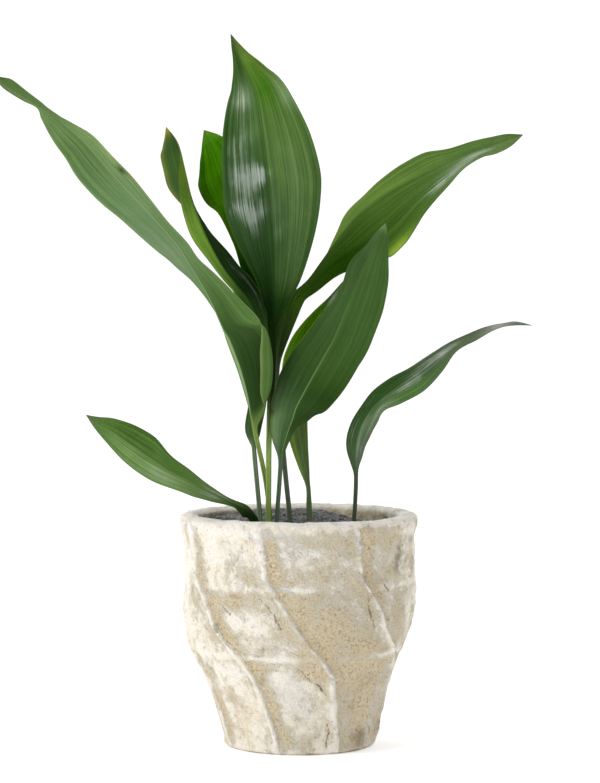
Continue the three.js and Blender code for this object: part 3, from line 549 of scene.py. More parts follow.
            (0.6, 0.48, 0.3, 0.08, (72, 112, 44), 0.6), (-0.2, 0.7, 0.4, 0.06, (112, 126, 104), 0.4),
            (0.0, 0.87, 1.5, 0.05, (168, 172, 162), 0.75),
        ),
        shine=(
            (-0.2, 0.6, 0.6, 0.12, 0.6), (0.3, 0.16, 0.4, 0.1, 0.45), (-0.6, 0.22, 0.3, 0.12, 0.45),
            (0.2, 0.45, 0.3, 0.12, 0.55),
        ),
    ),
}
# Stage, in metres: the half size of the floor and its glow, the studio's strength in front of the plant and
# behind it with how far off each holds, and the soft lights beside the key light
FLOOR_HALF = 30.0
FLOOR_GLOW = 0.4
WHITE = (1.0, 1.0, 1.0, 1.0)
WORLD_FRONT = 0.5
WORLD_BACK = 1.1
WORLD_SPAN = (-0.5, 0.75)
LIGHT_TARGET = (0.0, 0.0, 0.3)
KEY_PLACE = (-2.35, -1.4, 1.4)
KEY_SIZE = (1.3, 1.6)
SOFT_LIGHTS = (
    ("top_soft", (-0.3, 0.3, 2.6), (2.0, 2.0), 16.0),
    ("fill_right", (2.2, -1.4, 1.0), (1.2, 1.4), 4.0),
)
CAMERA_PLACE = (0.0003, -2.488, 0.430)
CAMERA_DIP = 2.9
LENS_LENGTH = 133.33
SENSOR_WIDTH = 36.0
CLIP_END = 60.0


def linear(colour):
    """8-bit display colour to linear light: ((c + 0.055) / 1.055) ^ 2.4, or c / 12.92 when dark."""
    c = np.asarray(colour, dtype=float) / 255.0
    return np.where(c > 0.04045, ((c + 0.055) / 1.055) ** 2.4, c / 12.92)


def ink(colour):
    """8-bit display colour as a socket's value, opaque and in linear light."""
    return (*linear(colour).tolist(), 1.0)


def smooth(low, high, x):
    """Smoothstep: t^2 (3 - 2 t), with t the share of the way from low to high."""
    t = np.clip((np.asarray(x, dtype=float) - low) / (high - low), 0.0, 1.0)
    return t * t * (3.0 - 2.0 * t)


def bell(x, half):
    """exp(-(x / half width)^2)."""
    return np.exp(-(x / half) ** 2)


def soft_spot(a, wide, b, long):
    """exp(-(a / half width)^2 - (b / half length)^2)."""
    return np.exp(-(a / wide) ** 2 - (b / long) ** 2)


def course(table, x):
    """A table's value at x, straight between its points."""
    points = np.array(table, dtype=float)
    return np.interp(x, points[:, 0], points[:, 1])


def varied(field, mean, swing, low, high):
    """A share that follows a field: mean + swing field, kept from low to high."""
    return np.clip(mean + swing * field, low, high)


def wrapped(angle):
    """The same angle in degrees, from -180 to 180."""
    return (angle + 180.0) % 360.0 - 180.0


def grid_of(*parts):
    """Numbers of several shapes, spread over one grid and stacked into points."""
    return np.stack(np.broadcast_arrays(*parts), axis=-1)


def around(radius, phi, z):
    """Points at a radius and an angle in radians about the pot's axis: (r cos phi, r sin phi, z)."""
    return grid_of(radius * np.cos(phi), radius * np.sin(phi), z)


def lattice(points, seed):
    """Value noise in -1..1: random values at whole coordinates, blended by smoothstep along each axis."""
    cell = np.floor(points).astype(np.int64)
    t = points - cell
    t = t * t * (3.0 - 2.0 * t)

    def corner(offset):
        """A random value for each cell's corner, from its whole coordinates."""
        q = (cell + np.array(offset)).astype(np.uint64)
        h = q[..., 0] * np.uint64(73856093) ^ q[..., 1] * np.uint64(19349663)
        h = h ^ q[..., 2] * np.uint64(83492791)
        h = (h ^ np.uint64(seed * 2654435761 + 97)) & np.uint64(0xFFFFFFFF)
        h = (h * np.uint64(2246822519)) & np.uint64(0xFFFFFFFF)
        h = ((h ^ (h >> np.uint64(13))) * np.uint64(3266489917)) & np.uint64(0xFFFFFFFF)
        return ((h ^ (h >> np.uint64(16))) & np.uint64(0xFFFF)).astype(float) / 32767.5 - 1.0

    x, y, z = t[..., 0], t[..., 1], t[..., 2]
    rows = [corner((0, j, k)) * (1 - x) + corner((1, j, k)) * x for k in (0, 1) for j in (0, 1)]
    low = rows[0] * (1 - y) + rows[1] * y
    high = rows[2] * (1 - y) + rows[3] * y
    return low * (1 - z) + high * z


def rough_field(points, size, seed, octaves):
    """Sum of value noise over octaves: noise(p 2^i / size) / 2^i, with size in millimetres."""
    total = np.zeros(points.shape[:-1])
    for i in range(octaves):
        total += lattice(points * (2.0 ** i / size) + 17.3 * (i + 1), seed + i) / 2.0 ** i
    return total


def faces_mesh(name, points, corners, sizes):
    """A mesh of points in metres, from the corners of all its faces in turn and the corner count of each."""
    mesh = bpy.data.meshes.new(name)
    mesh.vertices.add(len(points))
    mesh.vertices.foreach_set("co", points.ravel())
    mesh.loops.add(len(corners))
    mesh.loops.foreach_set("vertex_index", corners)
    mesh.polygons.add(len(sizes))
    mesh.polygons.foreach_set("loop_start", np.cumsum(sizes) - sizes)
    return mesh


def closed_mesh(name, rings, attributes=None, uv=None):
    """A closed skin over rings (rows, columns, 3) in millimetres, with a fan to the middle of either end.

    Quads join each ring to the next, and each column to the next with the last to the first. attributes maps
    a name to per-vertex values on the rings: one number each, or a colour of three. uv is a (rows, columns,
    2) place on the surface for each ring vertex.
    """
    rows, columns = rings.shape[:2]
    count = rows * columns

    def with_ends(values):
        """Ring values as a list, then the mean of the first ring and that of the last."""
        ends = np.stack([values[0].mean(axis=0), values[-1].mean(axis=0)])
        return np.concatenate([values.reshape(count, -1), ends.reshape(2, -1)])

    j = np.arange(columns)
    after = (j + 1) % columns
    base = (np.arange(rows - 1) * columns)[:, None]
    quads = np.stack([base + j, base + after, base + after + columns, base + j + columns], axis=-1)
    first = np.stack([np.full(columns, count), after, j], axis=-1)
    last = np.stack([np.full(columns, count + 1), count - columns + j, count - columns + after], axis=-1)
    corners = np.concatenate([quads.ravel(), first.ravel(), last.ravel()])
    sizes = np.concatenate([np.full((rows - 1) * columns, 4), np.full(2 * columns, 3)])
    mesh = faces_mesh(name, with_ends(rings) * MM, corners, sizes)
    mesh.polygons.foreach_set("use_smooth", np.ones(len(sizes), dtype=bool))
    if uv is not None:
        mesh.uv_layers.new(name="surface").data.foreach_set("uv", with_ends(uv)[corners].ravel())
    for key, values in (attributes or {}).items():
        full = with_ends(values)
        if values.ndim == 3:
            full = np.concatenate([full, np.ones((len(full), 1))], axis=1)
            mesh.attributes.new(key, "FLOAT_COLOR", "POINT").data.foreach_set("color", full.ravel())
        else:
            mesh.attributes.new(key, "FLOAT", "POINT").data.foreach_set("value", full.ravel())
    mesh.update(calc_edges=True)
    mesh.validate()
    return mesh


def put(name, data):
    """An object of a name with its data, in the scene."""
    made = bpy.data.objects.new(name, data)
    bpy.context.scene.collection.objects.link(made)
    return made


def add_piece(name, mesh, node, material):
    """Puts a mesh into the scene, with its material, as a piece that stands for one CAD node."""
    piece = put(name, mesh)
    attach(piece, "root")
    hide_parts(node)
    mesh.materials.append(material)


class Wire:
    """One output of a shader node. Arithmetic on wires and numbers adds the Math nodes for it."""

    def __init__(self, graph, socket):
        self.graph = graph
        self.socket = socket

    def _math(self, operation, a, b):
        return self.graph.node("ShaderNodeMath", {"operation": operation}, {0: a, 1: b})

    def __add__(self, other):
        return self._math("ADD", self, other)

    def __radd__(self, other):
        return self._math("ADD", other, self)

    def __sub__(self, other):
        return self._math("SUBTRACT", self, other)

    def __rsub__(self, other):
        return self._math("SUBTRACT", other, self)

    def __mul__(self, other):
        return self._math("MULTIPLY", self, other)

    def __rmul__(self, other):
        return self._math("MULTIPLY", other, self)

    def __abs__(self):
        return self.graph.node("ShaderNodeMath", {"operation": "ABSOLUTE"}, {0: self})

    def step(self, low, high):
        """Smoothstep of this value from low to high."""
        return self.graph.node("ShaderNodeMapRange", {"interpolation_type": "SMOOTHSTEP"},
                               {"Value": self, "From Min": low, "From Max": high})


class Finish:
    """A material and its node graph, ending in one Principled shader."""

    def __init__(self, name, constants):
        self.material = bpy.data.materials.new(name)
        self.material.use_nodes = True
        self.tree = self.material.node_tree
        self.shader = self.tree.nodes["Principled BSDF"]
        for key, value in constants.items():
            self.shader.inputs[key].default_value = value

    def node(self, kind, settings=None, inputs=None, out=0):
        """Adds a node, makes its settings, gives its sockets values or links, and returns one output."""
        made = self.tree.nodes.new(kind)
        for key, value in (settings or {}).items():
            setattr(made, key, value)
        for key, value in (inputs or {}).items():
            if isinstance(value, Wire):
                self.tree.links.new(value.socket, made.inputs[key])
            else:
                made.inputs[key].default_value = value
        return Wire(self, made.outputs[out])

    def mix(self, share, a, b, blend="MIX"):
        """Colour a turned into colour b by a share."""
        settings = {"data_type": "RGBA", "blend_type": blend}
        return self.node("ShaderNodeMix", settings, {0: share, 6: a, 7: b}, out=2)

    def attribute(self, name, out="Fac"):
        """One of the piece's own attributes."""
        return self.node("ShaderNodeAttribute", {"attribute_name": name}, out=out)

    def place(self):
        """Object coordinates, in metres."""
        return self.node("ShaderNodeTexCoord", out="Object")

    def noise(self, coordinates, scale, detail, rough, warp=0.0):
        """Noise from 0 to 1 at a scale, with its detail, roughness and distortion."""
        return self.node("ShaderNodeTexNoise", {}, {
            "Vector": coordinates, "Scale": scale, "Detail": detail, "Roughness": rough, "Distortion": warp})

    def stretch(self, coordinates, factors):
        """Coordinates times one factor for each axis."""
        return self.node("ShaderNodeVectorMath", {"operation": "MULTIPLY"}, {0: coordinates, 1: factors})

    def bump(self, height, distance, strength):
        """A normal from a height, which stands for distance metres at 1."""
        inputs = {"Height": height, "Distance": distance, "Strength": strength}
        return self.node("ShaderNodeBump", {}, inputs)

    def feed(self, **sockets):
        """Links wires to the shader: base, rough, coat or normal."""
        names = {"base": "Base Color", "rough": "Roughness", "coat": "Coat Weight", "normal": "Normal"}
        for key, wire in sockets.items():
            self.tree.links.new(wire.socket, self.shader.inputs[names[key]])
        return self.material


# Pot

def pot_columns(count):
    """For count columns round the pot: the ridge line's angle in degrees, the share of the way to the next
    ridge, the scoop of that panel and the panel's number."""
    t = np.arange(count) * (len(RIDGE_ANGLES) / count)
    k = np.floor(t).astype(int)
    share = t - k
    starts = np.array(RIDGE_ANGLES, dtype=float)
    ends = np.append(starts[1:], starts[0] + 360.0)
    return starts[k] + (ends[k] - starts[k]) * share, share, np.array(PANEL_SCOOPS)[k], k


def spots(table, angle, z):
    """Sum of soft round spots: strength exp(-(da / half width)^2 - (dz / half height)^2), at most 1."""
    total = np.zeros(np.broadcast(angle, z).shape)
    for centre, height, wide, high, strength in table:
        total += strength * soft_spot(wrapped(angle - centre), wide, z - height, high)
    return np.minimum(total, 1.0)


def crack_depth(angle, z, wander, half):
    """0 to 1 along the cracks: exp(-(distance to the nearest crack line / half width)^2)."""
    depth = np.zeros_like(angle)
    for line in CRACKS:
        for (a0, z0), (a1, z1) in zip(line[:-1], line[1:]):
            ax, az = (a1 - a0) * DEGREE_SPAN, z1 - z0
            px, pz = (angle - a0) * DEGREE_SPAN + wander, z - z0
            t = np.clip((px * ax + pz * az) / (ax * ax + az * az), 0.0, 1.0)
            depth = np.maximum(depth, bell(np.hypot(px - t * ax, pz - t * az), half))
    return depth


def pot_ledges(angle, panel, near, z, bumps):
    """The ledges over the wall's grid: how far the wall steps in, the shade under them and their worn lips.

    With d = (level - z) / reach, the wall under a ledge steps in by step smooth(d) (1 - d), and its lip is
    exp(-((level - z + drop) / half)^2). Each panel has its own share, and both are least at the ridges.
    """
    step, under, lip = np.zeros_like(near), np.zeros_like(near), np.zeros_like(near)
    clear = np.minimum(near * 4.0, 1.0)
    worn = varied(bumps, 0.75, 0.6, 0.0, 1.2)
    for number, height in enumerate(LEDGE_HEIGHTS):
        stray = lattice(grid_of(angle / LEDGE_STRAY_SPAN, 0.5 + number, 0.5), 5 + number)
        level = height + LEDGE_STRAY * stray
        below = (level - z) / LEDGE_REACH
        amount = varied(lattice(grid_of(panel, 3.5 + number, 0.5), 8), 0.8, 0.6, 0.3, 1.2)
        fall = smooth(0.0, 0.13, below) * (1.0 - below) * amount
        fall = np.where((below > 0) & (below < 1), fall, 0.0)
        step += LEDGE_STEP * fall * (0.3 + 0.7 * clear)
        under += fall * clear
        lip += bell(level - z + LEDGE_LIP_DROP, LEDGE_LIP_HALF) * clear * amount * worn
    return step, under, lip


def pot_swell(angle, z):
    """How much fuller the wall is on its left: bell(angle) smooth(z) (top + low bell(z))."""
    on_left = bell(wrapped(angle - SWELL_ANGLE), SWELL_REACH) * smooth(*SWELL_START, z)
    return on_left * (SWELL_TOP + SWELL_LOW * bell(z - SWELL_HEIGHT, SWELL_REACH))


def pot_outside(heights):
    """The outside of the pot as rings, with its shares: pale, tan with painted shade, cool, stains with
    painted shade, and cracked.

    r(angle, z) = profile(z) - fade(z) (scoop sin(pi n / 2)^1.2 + rise smooth(n) - crest + flank) - ledges(z)
    + swell + roughness, with n = 2 min(share, 1 - share) across a panel, and angle = ridge angle + twist
    course(z).
    """
    angle, share, scoop, panel = pot_columns(POT_COLUMNS)
    z = heights[:, None]
    place = around(FIELD_RADIUS, np.radians(angle), z)
    bumps = rough_field(place, *BUMP_FIELD)
    fine = rough_field(place * LIFE_SIZE, *FINE_FIELD)
    grit = rough_field(place * LIFE_SIZE, *GRIT_FIELD)
    share = share + RIDGE_STRAY * rough_field(place, *STRAY_FIELD) * smooth(0, STRAY_DEPTH, POT_HEIGHT - z)
    signed = share - np.round(share)
    near = 2.0 * np.abs(signed)
    fade = smooth(0, FOOT_FADE, z) * smooth(*TOP_FADE, POT_HEIGHT - z)
    panel_dip = scoop * np.sin(near * math.pi / 2.0) ** 1.2
    crest_width = np.clip(CREST_WIDTH + 0.06 * bumps + 0.035 * fine, *CREST_WIDTHS)
    crest = (1.0 - smooth(0.0, 1.0, near / crest_width)) * varied(fine, 0.75, 0.6, 0.1, 1.0)
    flank = smooth(0.05, 0.12, near) * (1.0 - smooth(0.16, 0.5, near)) * np.where(signed > 0, 1.0, 0.2)
    turned = wrapped(angle + RIDGE_TWIST * course(TWIST_COURSE, z))
    step, under, lip = pot_ledges(angle, panel, near, z, bumps)
    wobble = 1.3 * fine + 0.8 * grit
    crack = crack_depth(turned, z, wobble, CRACK_HALF)
    # Tan bare cement from the patches, plus painted shadow along the right flank of each ridge (not round the
    # far left side) and painted shade under the ledges
    sandy_and_shaded = spots(SANDY, turned, z) + 0.45 * flank * (turned > FLANK_SHADE_ANGLE) + 0.35 * under
    sandy_and_shaded = np.clip(sandy_and_shaded - 0.6 * crest - 0.4 * lip, 0.0, 1.0)
    ridges = RIDGE_RISE * smooth(0.0, 0.26, near) - CREST_RISE * crest + FLANK_DIP * flank
    radius = course(POT_PROFILE, z) + pot_swell(turned, z) - fade * (panel_dip + ridges) - step
    radius = (radius + LEDGE_LIP_RISE * lip + fade * BUMP_RISE * bumps + FINE_RISE * fine
              + (GRIT_RISE + SANDY_GRIT_RISE * sandy_and_shaded) * grit - CRACK_DIP * crack)
    # The rim's band is limewash painted paler as painted light where it tilts down into shade, much less so
    # from just right of the front round the right side
    wash = smooth(*RIM_PALE_HEIGHTS, z + 3.0 * bumps) * (1.0 - 0.8 * smooth(*RIM_PALE_ANGLES, turned))
    # Stains and cracks, plus a painted contact shadow along the foot; some of the spots are painted shade low
    # on the right side
    stained_and_shaded = spots(STAINS_AND_SHADE, turned, z) + 0.6 * crack + 0.9 * smooth(*FOOT_SHADE, z)
    return around(radius, np.radians(turned - 90.0), z), {
        "pale": np.clip(crest + 1.3 * lip * spots(LIPS, turned, z) + 0.6 * wash, 0.0, 1.0),
        "sandy_and_shaded": sandy_and_shaded,
        "cool": spots(COOL, turned, z),
        "stained_and_shaded": np.clip(stained_and_shaded, 0.0, 1.0),
        "cracked": crack_depth(turned, z, wobble, CRACK_LINE_HALF),
    }


def pot_inside(outer):
    """From the outside's last ring over the lip and down the inside to the floor, with the finish's shares.

    The lip runs over half a turn t, at r = middle + reach cos t and z = start + rise sin(t)^0.7.
    """
    phi = np.arctan2(outer[:, 1], outer[:, 0])
    edge = np.hypot(outer[:, 0], outer[:, 1])
    middle, reach = (edge + MOUTH_RADIUS) / 2.0, (edge - MOUTH_RADIUS) / 2.0
    turn = np.linspace(0.0, 1.0, LIP_RINGS)[1:, None] * math.pi
    lip_z = LIP_START + (POT_HEIGHT - LIP_START) * np.sin(turn) ** 0.7
    foot_top = FLOOR_THICKNESS + INNER_FOOT_RISE
    low_z = (INNER_WAIST_HEIGHT, foot_top, FLOOR_THICKNESS)
    wall_z = np.concatenate([np.linspace(*MOUTH_RINGS_SPAN, MOUTH_RINGS), low_z])
    wall = ((FLOOR_THICKNESS, INNER_BASE_RADIUS), (foot_top, INNER_BASE_RADIUS + INNER_SPREAD),
            (INNER_WAIST_HEIGHT, MOUTH_RADIUS - INNER_SPREAD), (INNER_WALL_TOP, MOUTH_RADIUS))
    wall_r = np.repeat(course(wall, wall_z)[:, None], len(outer), axis=1)
    radius = np.concatenate([middle + reach * np.cos(turn), wall_r])
    height = np.repeat(np.concatenate([lip_z[:, 0], wall_z])[:, None], len(outer), axis=1)
    place = around(radius, phi, height)
    coarse = rough_field(place, *RIM_FIELD)
    lumps = rough_field(place, *RIM_LUMP_FIELD)
    on_top = smooth(*TOP_LUMPS, height)
    held = smooth(*WALL_LUMPS, height) * (1.0 - on_top)
    angle = wrapped(np.degrees(phi) + 90.0)
    nick = spots(NICKS, angle, height) * held
    thin = THIN_DEPTH * bell(angle - THIN_ANGLE, THIN_REACH) * smooth(*THIN_HEIGHTS, height)
    thin = thin * (radius < middle) * smooth(MOUTH_RADIUS + THIN_WIDTH, MOUTH_RADIUS, radius)
    radius = radius + held * (np.abs(lumps) * LUMP_DIP + NICK_DEPTH * nick) + thin
    height = np.minimum(height + on_top * (0.5 * coarse + 0.5 * lumps - 0.35), POT_HEIGHT)
    # Painted shade inside the mouth below the lip, darker towards the left side
    inner = (radius < MOUTH_RADIUS + MOUTH_SHADE_DEPTH) * smooth(*MOUTH_SHADE, height)
    shaded = 0.35 * inner + inner * smooth(*MOUTH_SHADE_ANGLES, angle)
    return around(radius, phi, height), {
        "pale": 0.9 * on_top,
        "sandy_and_shaded": 0.25 * inner + 0.3 * spots(RIM_SAND, angle, height),
        "cool": 0.35 * inner,
        "stained_and_shaded": np.clip(shaded + nick * 1.5, 0.0, 1.0),
        "cracked": np.zeros_like(radius),
    }


def pot_mesh():
    """One closed skin: up the outside, over the rounded lip, down the inside and across the floor."""
    foot = np.linspace(0.0, FOOT_RINGS_TOP, FOOT_RINGS)[:-1]
    outside, shares = pot_outside(np.concatenate([foot, np.linspace(FOOT_RINGS_TOP, LIP_START, WALL_RINGS)]))
    inside, inner_shares = pot_inside(outside[-1])
    for key, share in inner_shares.items():
        shares[key] = np.concatenate([shares[key], share])
    return closed_mesh("pot_body", np.concatenate([outside, inside]), shares)


def cement(settings):
    """Limewashed cement: white on crests and rim, grey in places, tan and grainy in the hollows, with painted
    light and shade in it.
    """
    f = Finish("limewashed_cement", {"Specular IOR Level": 0.2})
    place = f.place()
    pale, sandy_and_shaded, cool, stained_and_shaded, cracked = map(f.attribute, ("pale", "sandy_and_shaded", "cool", "stained_and_shaded", "cracked"))
    broad = f.noise(place, 34.0, 6.0, 0.66, 0.3)
    blotch = f.noise(place, 120.0, 6.0, 0.72, 0.4)
    grain = f.noise(place, 440.0, 4.0, 0.78)
    fine = f.noise(place, 1500.0, 2.0, 0.6)
    cells = {"Vector": place, "Scale": 260.0, "Randomness": 1.0}
    pores = f.node("ShaderNodeTexVoronoi", {"feature": "F1"}, cells)
    veining = abs(f.noise(place, 190.0, 4.0, 0.7, 0.3) - 0.5)
    drift = broad * 1.1 + blotch * 1.5 + grain * 0.7 - 1.65
    sand_and_shade = (sandy_and_shaded * 0.85 + drift * 1.1).step(0.04, 0.84)
    pit = (1.0 - pores.step(0.06, 0.2)) * blotch.step(0.54, 0.6)
    fissure = (cracked * 1.1 + blotch * 1.6 + grain * 1.8 - 1.95).step(0.45, 0.9)
    crease = (1.0 - veining.step(0.0, 0.02)) * (drift + sand_and_shade * 0.3).step(0.1, 0.45)
    base = f.mix(broad.step(0.36, 0.64), ink(settings.pot_white), ink(CREAM))
    for share, colour in (
            ((cool * 0.9 + drift * 0.9).step(0.15, 0.9) * 0.8, CHALK),
            # tan bare cement, which also paints the ridges' flank shadow and the shade under the ledges
            (sand_and_shade * 0.82, settings.pot_tan),
            (grain.step(0.52, 0.6) * (sand_and_shade * 0.55 + 0.35), LIGHT_GRAIN),
            ((1.0 - grain.step(0.38, 0.45)) * (sand_and_shade * 0.48 + 0.24), DARK_GRAIN),
            # limewash on crests, lips and rim, with the rim's band painted paler as painted light
            ((pale * 0.9 + drift * 1.2).step(0.2, 0.7) * 0.9, CREST_WHITE),
            # stains, with painted shade: the contact shadow at the foot, the shade in the mouth and low on
            # the right side
            ((stained_and_shaded * 0.9 + drift).step(0.25, 1.0) * 0.6, STAIN_AND_SHADE),
            (pit * 0.75, PIT),
            (fissure * 0.6, CRACK_LINE),
            (fine.step(0.3, 0.7) * 0.12, DUST),
            (crease * 0.22, CREASE)):
        base = f.mix(share, base, ink(colour))
    relief = (grain - crease * 0.1) * (0.6 + sand_and_shade * 0.9)
    relief = relief + blotch * 0.3 + fine * 0.1 - pit * 0.6 - fissure * 0.6
    return f.feed(base=base, rough=0.82 + grain * 0.15, normal=f.bump(relief, 0.0029, 1.0))


# Soil

def soil_height(x, y):
    """Top of the soil: top - its falls by smooth(way) + lumps, which are sines of x and y."""
    height = SOIL_TOP
    for (drop, start, end), way in ((FALL_RIGHT, x), (FALL_LEFT, -x), (FALL_FRONT, -y)):
        height = height - drop * smooth(start, end, way)
    return height + (0.8 * np.sin(x * 0.31 + 1.3) * np.sin(y * 0.27) + 0.5 * np.sin(x * 0.63 - y * 0.5))


def soil_mesh():
    """A plug of soil: floor ring, wall rings, then rings of the top from the wall inwards, made rough by
    z = height(x, y) + 1.5 |crumbs| - 1.2 + 0.5 grain."""
    mouth, base = MOUTH_RADIUS - SOIL_CLEAR, INNER_BASE_RADIUS - SOIL_CLEAR
    floor = FLOOR_THICKNESS + SOIL_LIFT
    low_r = (base, base + INNER_SPREAD, mouth - INNER_SPREAD)
    low_z = np.array([floor, floor + INNER_FOOT_RISE, INNER_WAIST_HEIGHT])
    radius = np.concatenate([low_r, (mouth - SOIL_EDGE) * np.linspace(1.0, 0.01, SOIL_RINGS)])[:, None]
    flat = around(radius, np.arange(SOIL_COLUMNS) * (2.0 * math.pi / SOIL_COLUMNS), 0.0)
    crumbs = np.abs(rough_field(flat, *SOIL_CRUMB_FIELD))
    height = soil_height(flat[..., 0], flat[..., 1]) + 1.5 * crumbs - 1.2
    height = height + 0.5 * rough_field(flat, *SOIL_GRAIN_FIELD)
    height[:len(low_z)] = low_z[:, None]
    return closed_mesh("soil_bed", np.concatenate([flat[..., :2], height[..., None]], axis=-1))


def crumb_mesh():
    """Loose crumbs on the soil: eight-sided lumps, p = centre + size R (corner (1 + jitter) + jitter)."""
    rng = np.random.default_rng(CRUMB_SEED)
    count = CRUMB_COUNT
    r = (MOUTH_RADIUS - CRUMB_MARGIN) * np.sqrt(rng.random(count))
    a = rng.random(count) * 2.0 * math.pi
    x, y = r * np.cos(a), r * np.sin(a)
    size = CRUMB_SIZE + CRUMB_SPREAD * rng.random(count) ** 3
    corners = np.array([(1, 0, 0), (-1, 0, 0), (0, 1, 0), (0, -1, 0), (0, 0, 1), (0, 0, -1)], dtype=float)
    shape = corners[None] * (1.0 + 0.45 * (rng.random((count, 6, 1)) - 0.5))
    shape = shape + 0.25 * (rng.random((count, 6, 3)) - 0.5)
    turn = rng.random(count)[:, None] * math.pi
    c, s = np.cos(turn), np.sin(turn)
    sx, sy, sz = shape[..., 0], shape[..., 1], shape[..., 2]
    spun = grid_of(sx * c - sy * s, sx * s + sy * c, sz * 0.75)
    centre = grid_of(x, y, soil_height(x, y) + 0.1)
    points = (centre[:, None, :] + spun * size[:, None, None]).reshape(-1, 3) * MM
    upper = ((0, 2, 4), (2, 1, 4), (1, 3, 4), (3, 0, 4))
    lower = ((2, 0, 5), (1, 2, 5), (3, 1, 5), (0, 3, 5))
    faces = np.array(upper + lower)
    loops = (faces[None] + (np.arange(count) * len(corners))[:, None, None]).reshape(-1)
    mesh = faces_mesh("soil_crumbs", points, loops, np.full(count * len(faces), 3))
    mesh.update(calc_edges=True)
    return mesh


def earth(settings):
    """Dark crumbly potting mix."""
    f = Finish("potting_mix", {"Specular IOR Level": 0.2})
    place = f.place()
    grain = f.noise(place, 420.0, 5.0, 0.7)
    broad = f.noise(place, 70.0, 4.0, 0.6)
    dry = (grain * 0.7 + broad * 0.4).step(0.4, 0.78)
    base = f.mix(dry, ink(settings.soil_dark), ink(settings.soil_light))
    return f.feed(base=base, rough=0.9 + grain * 0.1, normal=f.bump(grain + broad * 0.6, 0.0012, 0.9))


# Leaves

def spline(table, u):
    """Uniform Catmull-Rom spline through the rows of a table, at the places u counted in rows."""
    last = len(table) - 1
    i = np.minimum(np.floor(u).astype(int), last - 1)
    t = (u - i)[:, None]
    p0, p1 = table[np.maximum(i - 1, 0)], table[i]
    p2, p3 = table[i + 1], table[np.minimum(i + 2, last)]
    m1, m2 = (p2 - p0) / 2.0, (p3 - p1) / 2.0
    return ((2 * t ** 3 - 3 * t ** 2 + 1) * p1 + (t ** 3 - 2 * t ** 2 + t) * m1
            + (3 * t ** 2 - 2 * t ** 3) * p2 + (t ** 3 - t ** 2) * m2)


def leaf_table(rows):
    """A leaf's stations as an array, with the foot added below and the bends of plain halves filled in.

    The foot goes on below the first station, at half the slope there.
    """
    first, second = np.array(rows[0][:3], dtype=float), np.array(rows[1][:3], dtype=float)
    back = FOOT_DEPTH / (second[2] - first[2]) * 0.5
    foot = (*(first[:2] - (second[:2] - first[:2]) * back), first[2] - FOOT_DEPTH)
    full = []
    for row in ((*foot, 0, 0, 0, 0), *rows):
        la, lb, ra, rb = row[3:7]
        plain = (0.5 * la + PLAIN_ARCH * lb, 0.5 * lb + PLAIN_ARCH * abs(la),
                 0.5 * ra - PLAIN_ARCH * rb, 0.5 * rb + PLAIN_ARCH * abs(ra))
        full.append((*row[:7], *(row[7:] or plain)))
    return np.array(full, dtype=float)


def unit(v):
    """Vectors at length 1."""
    return v / np.maximum(np.linalg.norm(v, axis=-1, keepdims=True), 1e-9)


def places_across(count):
    """Places across a blade from margin to margin, -1 to 1: s = sign(t) (1 - (1 - |t|)^1.25), so closer
    together at the margins, with one more close beside either margin."""
    t = np.linspace(-1.0, 1.0, count)
    s = np.sign(t) * (1.0 - (1.0 - np.abs(t)) ** MARGIN_CROWDING)
    return np.insert(s, [1, count - 1], [-MARGIN_SEAM, MARGIN_SEAM])


def mark_share(mark, s, v):
    """A mark's share over a leaf's grid: strength exp(-(ds / half width)^2 - (dv / half length)^2)."""
    at_s, at_v, wide, long = mark[:4]
    return mark[-1] * soft_spot(s - at_s, wide, v[:, None] - at_v, long)


def half_tint(tints, side, v):
    """The tint of one half along v, straight between its stops, in linear light."""
    stops = [stop[0] for stop in tints]
    channels = linear([stop[side] for stop in tints]).T
    return np.stack([np.interp(v, stops, channel) for channel in channels], axis=-1)[:, None, :]


def tint_field(look, s, v, blade, climb):
    """Front and back colour of a leaf over its grid, in linear light.

    The halves' tints meet at the midrib, then the marks, the margins and the stalk are laid over them. climb
    is the share of the way up the stalk.
    """
    half = smooth(-look["blend"], look["blend"], s)[:, None]
    front = half_tint(look["tints"], 1, v) * (1 - half) + half_tint(look["tints"], 2, v) * half
    back = np.broadcast_to(linear(look["back"]), front.shape)
    edge = 0.7 * smooth(1.0 - 2.5 * look["edge_width"], 1.0, np.abs(s))[:, None]
    blade = blade[:, None, None]
    rise = smooth(0.35, 0.85, climb)[:, None, None]
    stem = linear(look["stalk"]) * (1 - rise) + linear(look.get("stalk_top", look["stalk"])) * rise
    out = []
    for face, marks in ((front, look["marks"]), (back, look["back_marks"])):
        for mark in marks:
            share = mark_share(mark, s, v)[..., None]
            face = face * (1 - share) + linear(mark[4]) * share
        face = face * (1 - edge) + linear(look["edge"]) * edge
        out.append(face * blade + stem * (1 - blade))
    return out


def leaf_shares(look, at, s, v, blade, climb):
    """What a leaf's finish reads over its grid: tint, sheen, the rib's share and how open the blade is."""
    front, back = tint_field(look, s, v, blade, climb)
    gloss = (look["gloss"] + sum(mark_share(mark, s, v) for mark in look["shine"])) * blade[:, None]
    dull = np.full((len(v), len(s)), look["gloss"] * 0.5)
    rib = look["rib_share"] * (1.0 - v) ** look["rib_fade"] * blade
    half_width = np.hypot(np.abs(at[:, 3]) + at[:, 5], at[:, 4] + at[:, 6]) / 2.0
    open_blade = smooth(*VEINED_WIDTHS, half_width) * blade * look["veins"]
    whole = (len(v), 2 * len(s))
    return {
        "tint": np.concatenate([front, back[:, ::-1]], axis=1),
        "sheen": np.concatenate([np.broadcast_to(gloss, dull.shape), dull], axis=1),
        "rib": np.broadcast_to(rib[:, None], whole),
        "open": np.broadcast_to(open_blade[:, None], whole),
    }


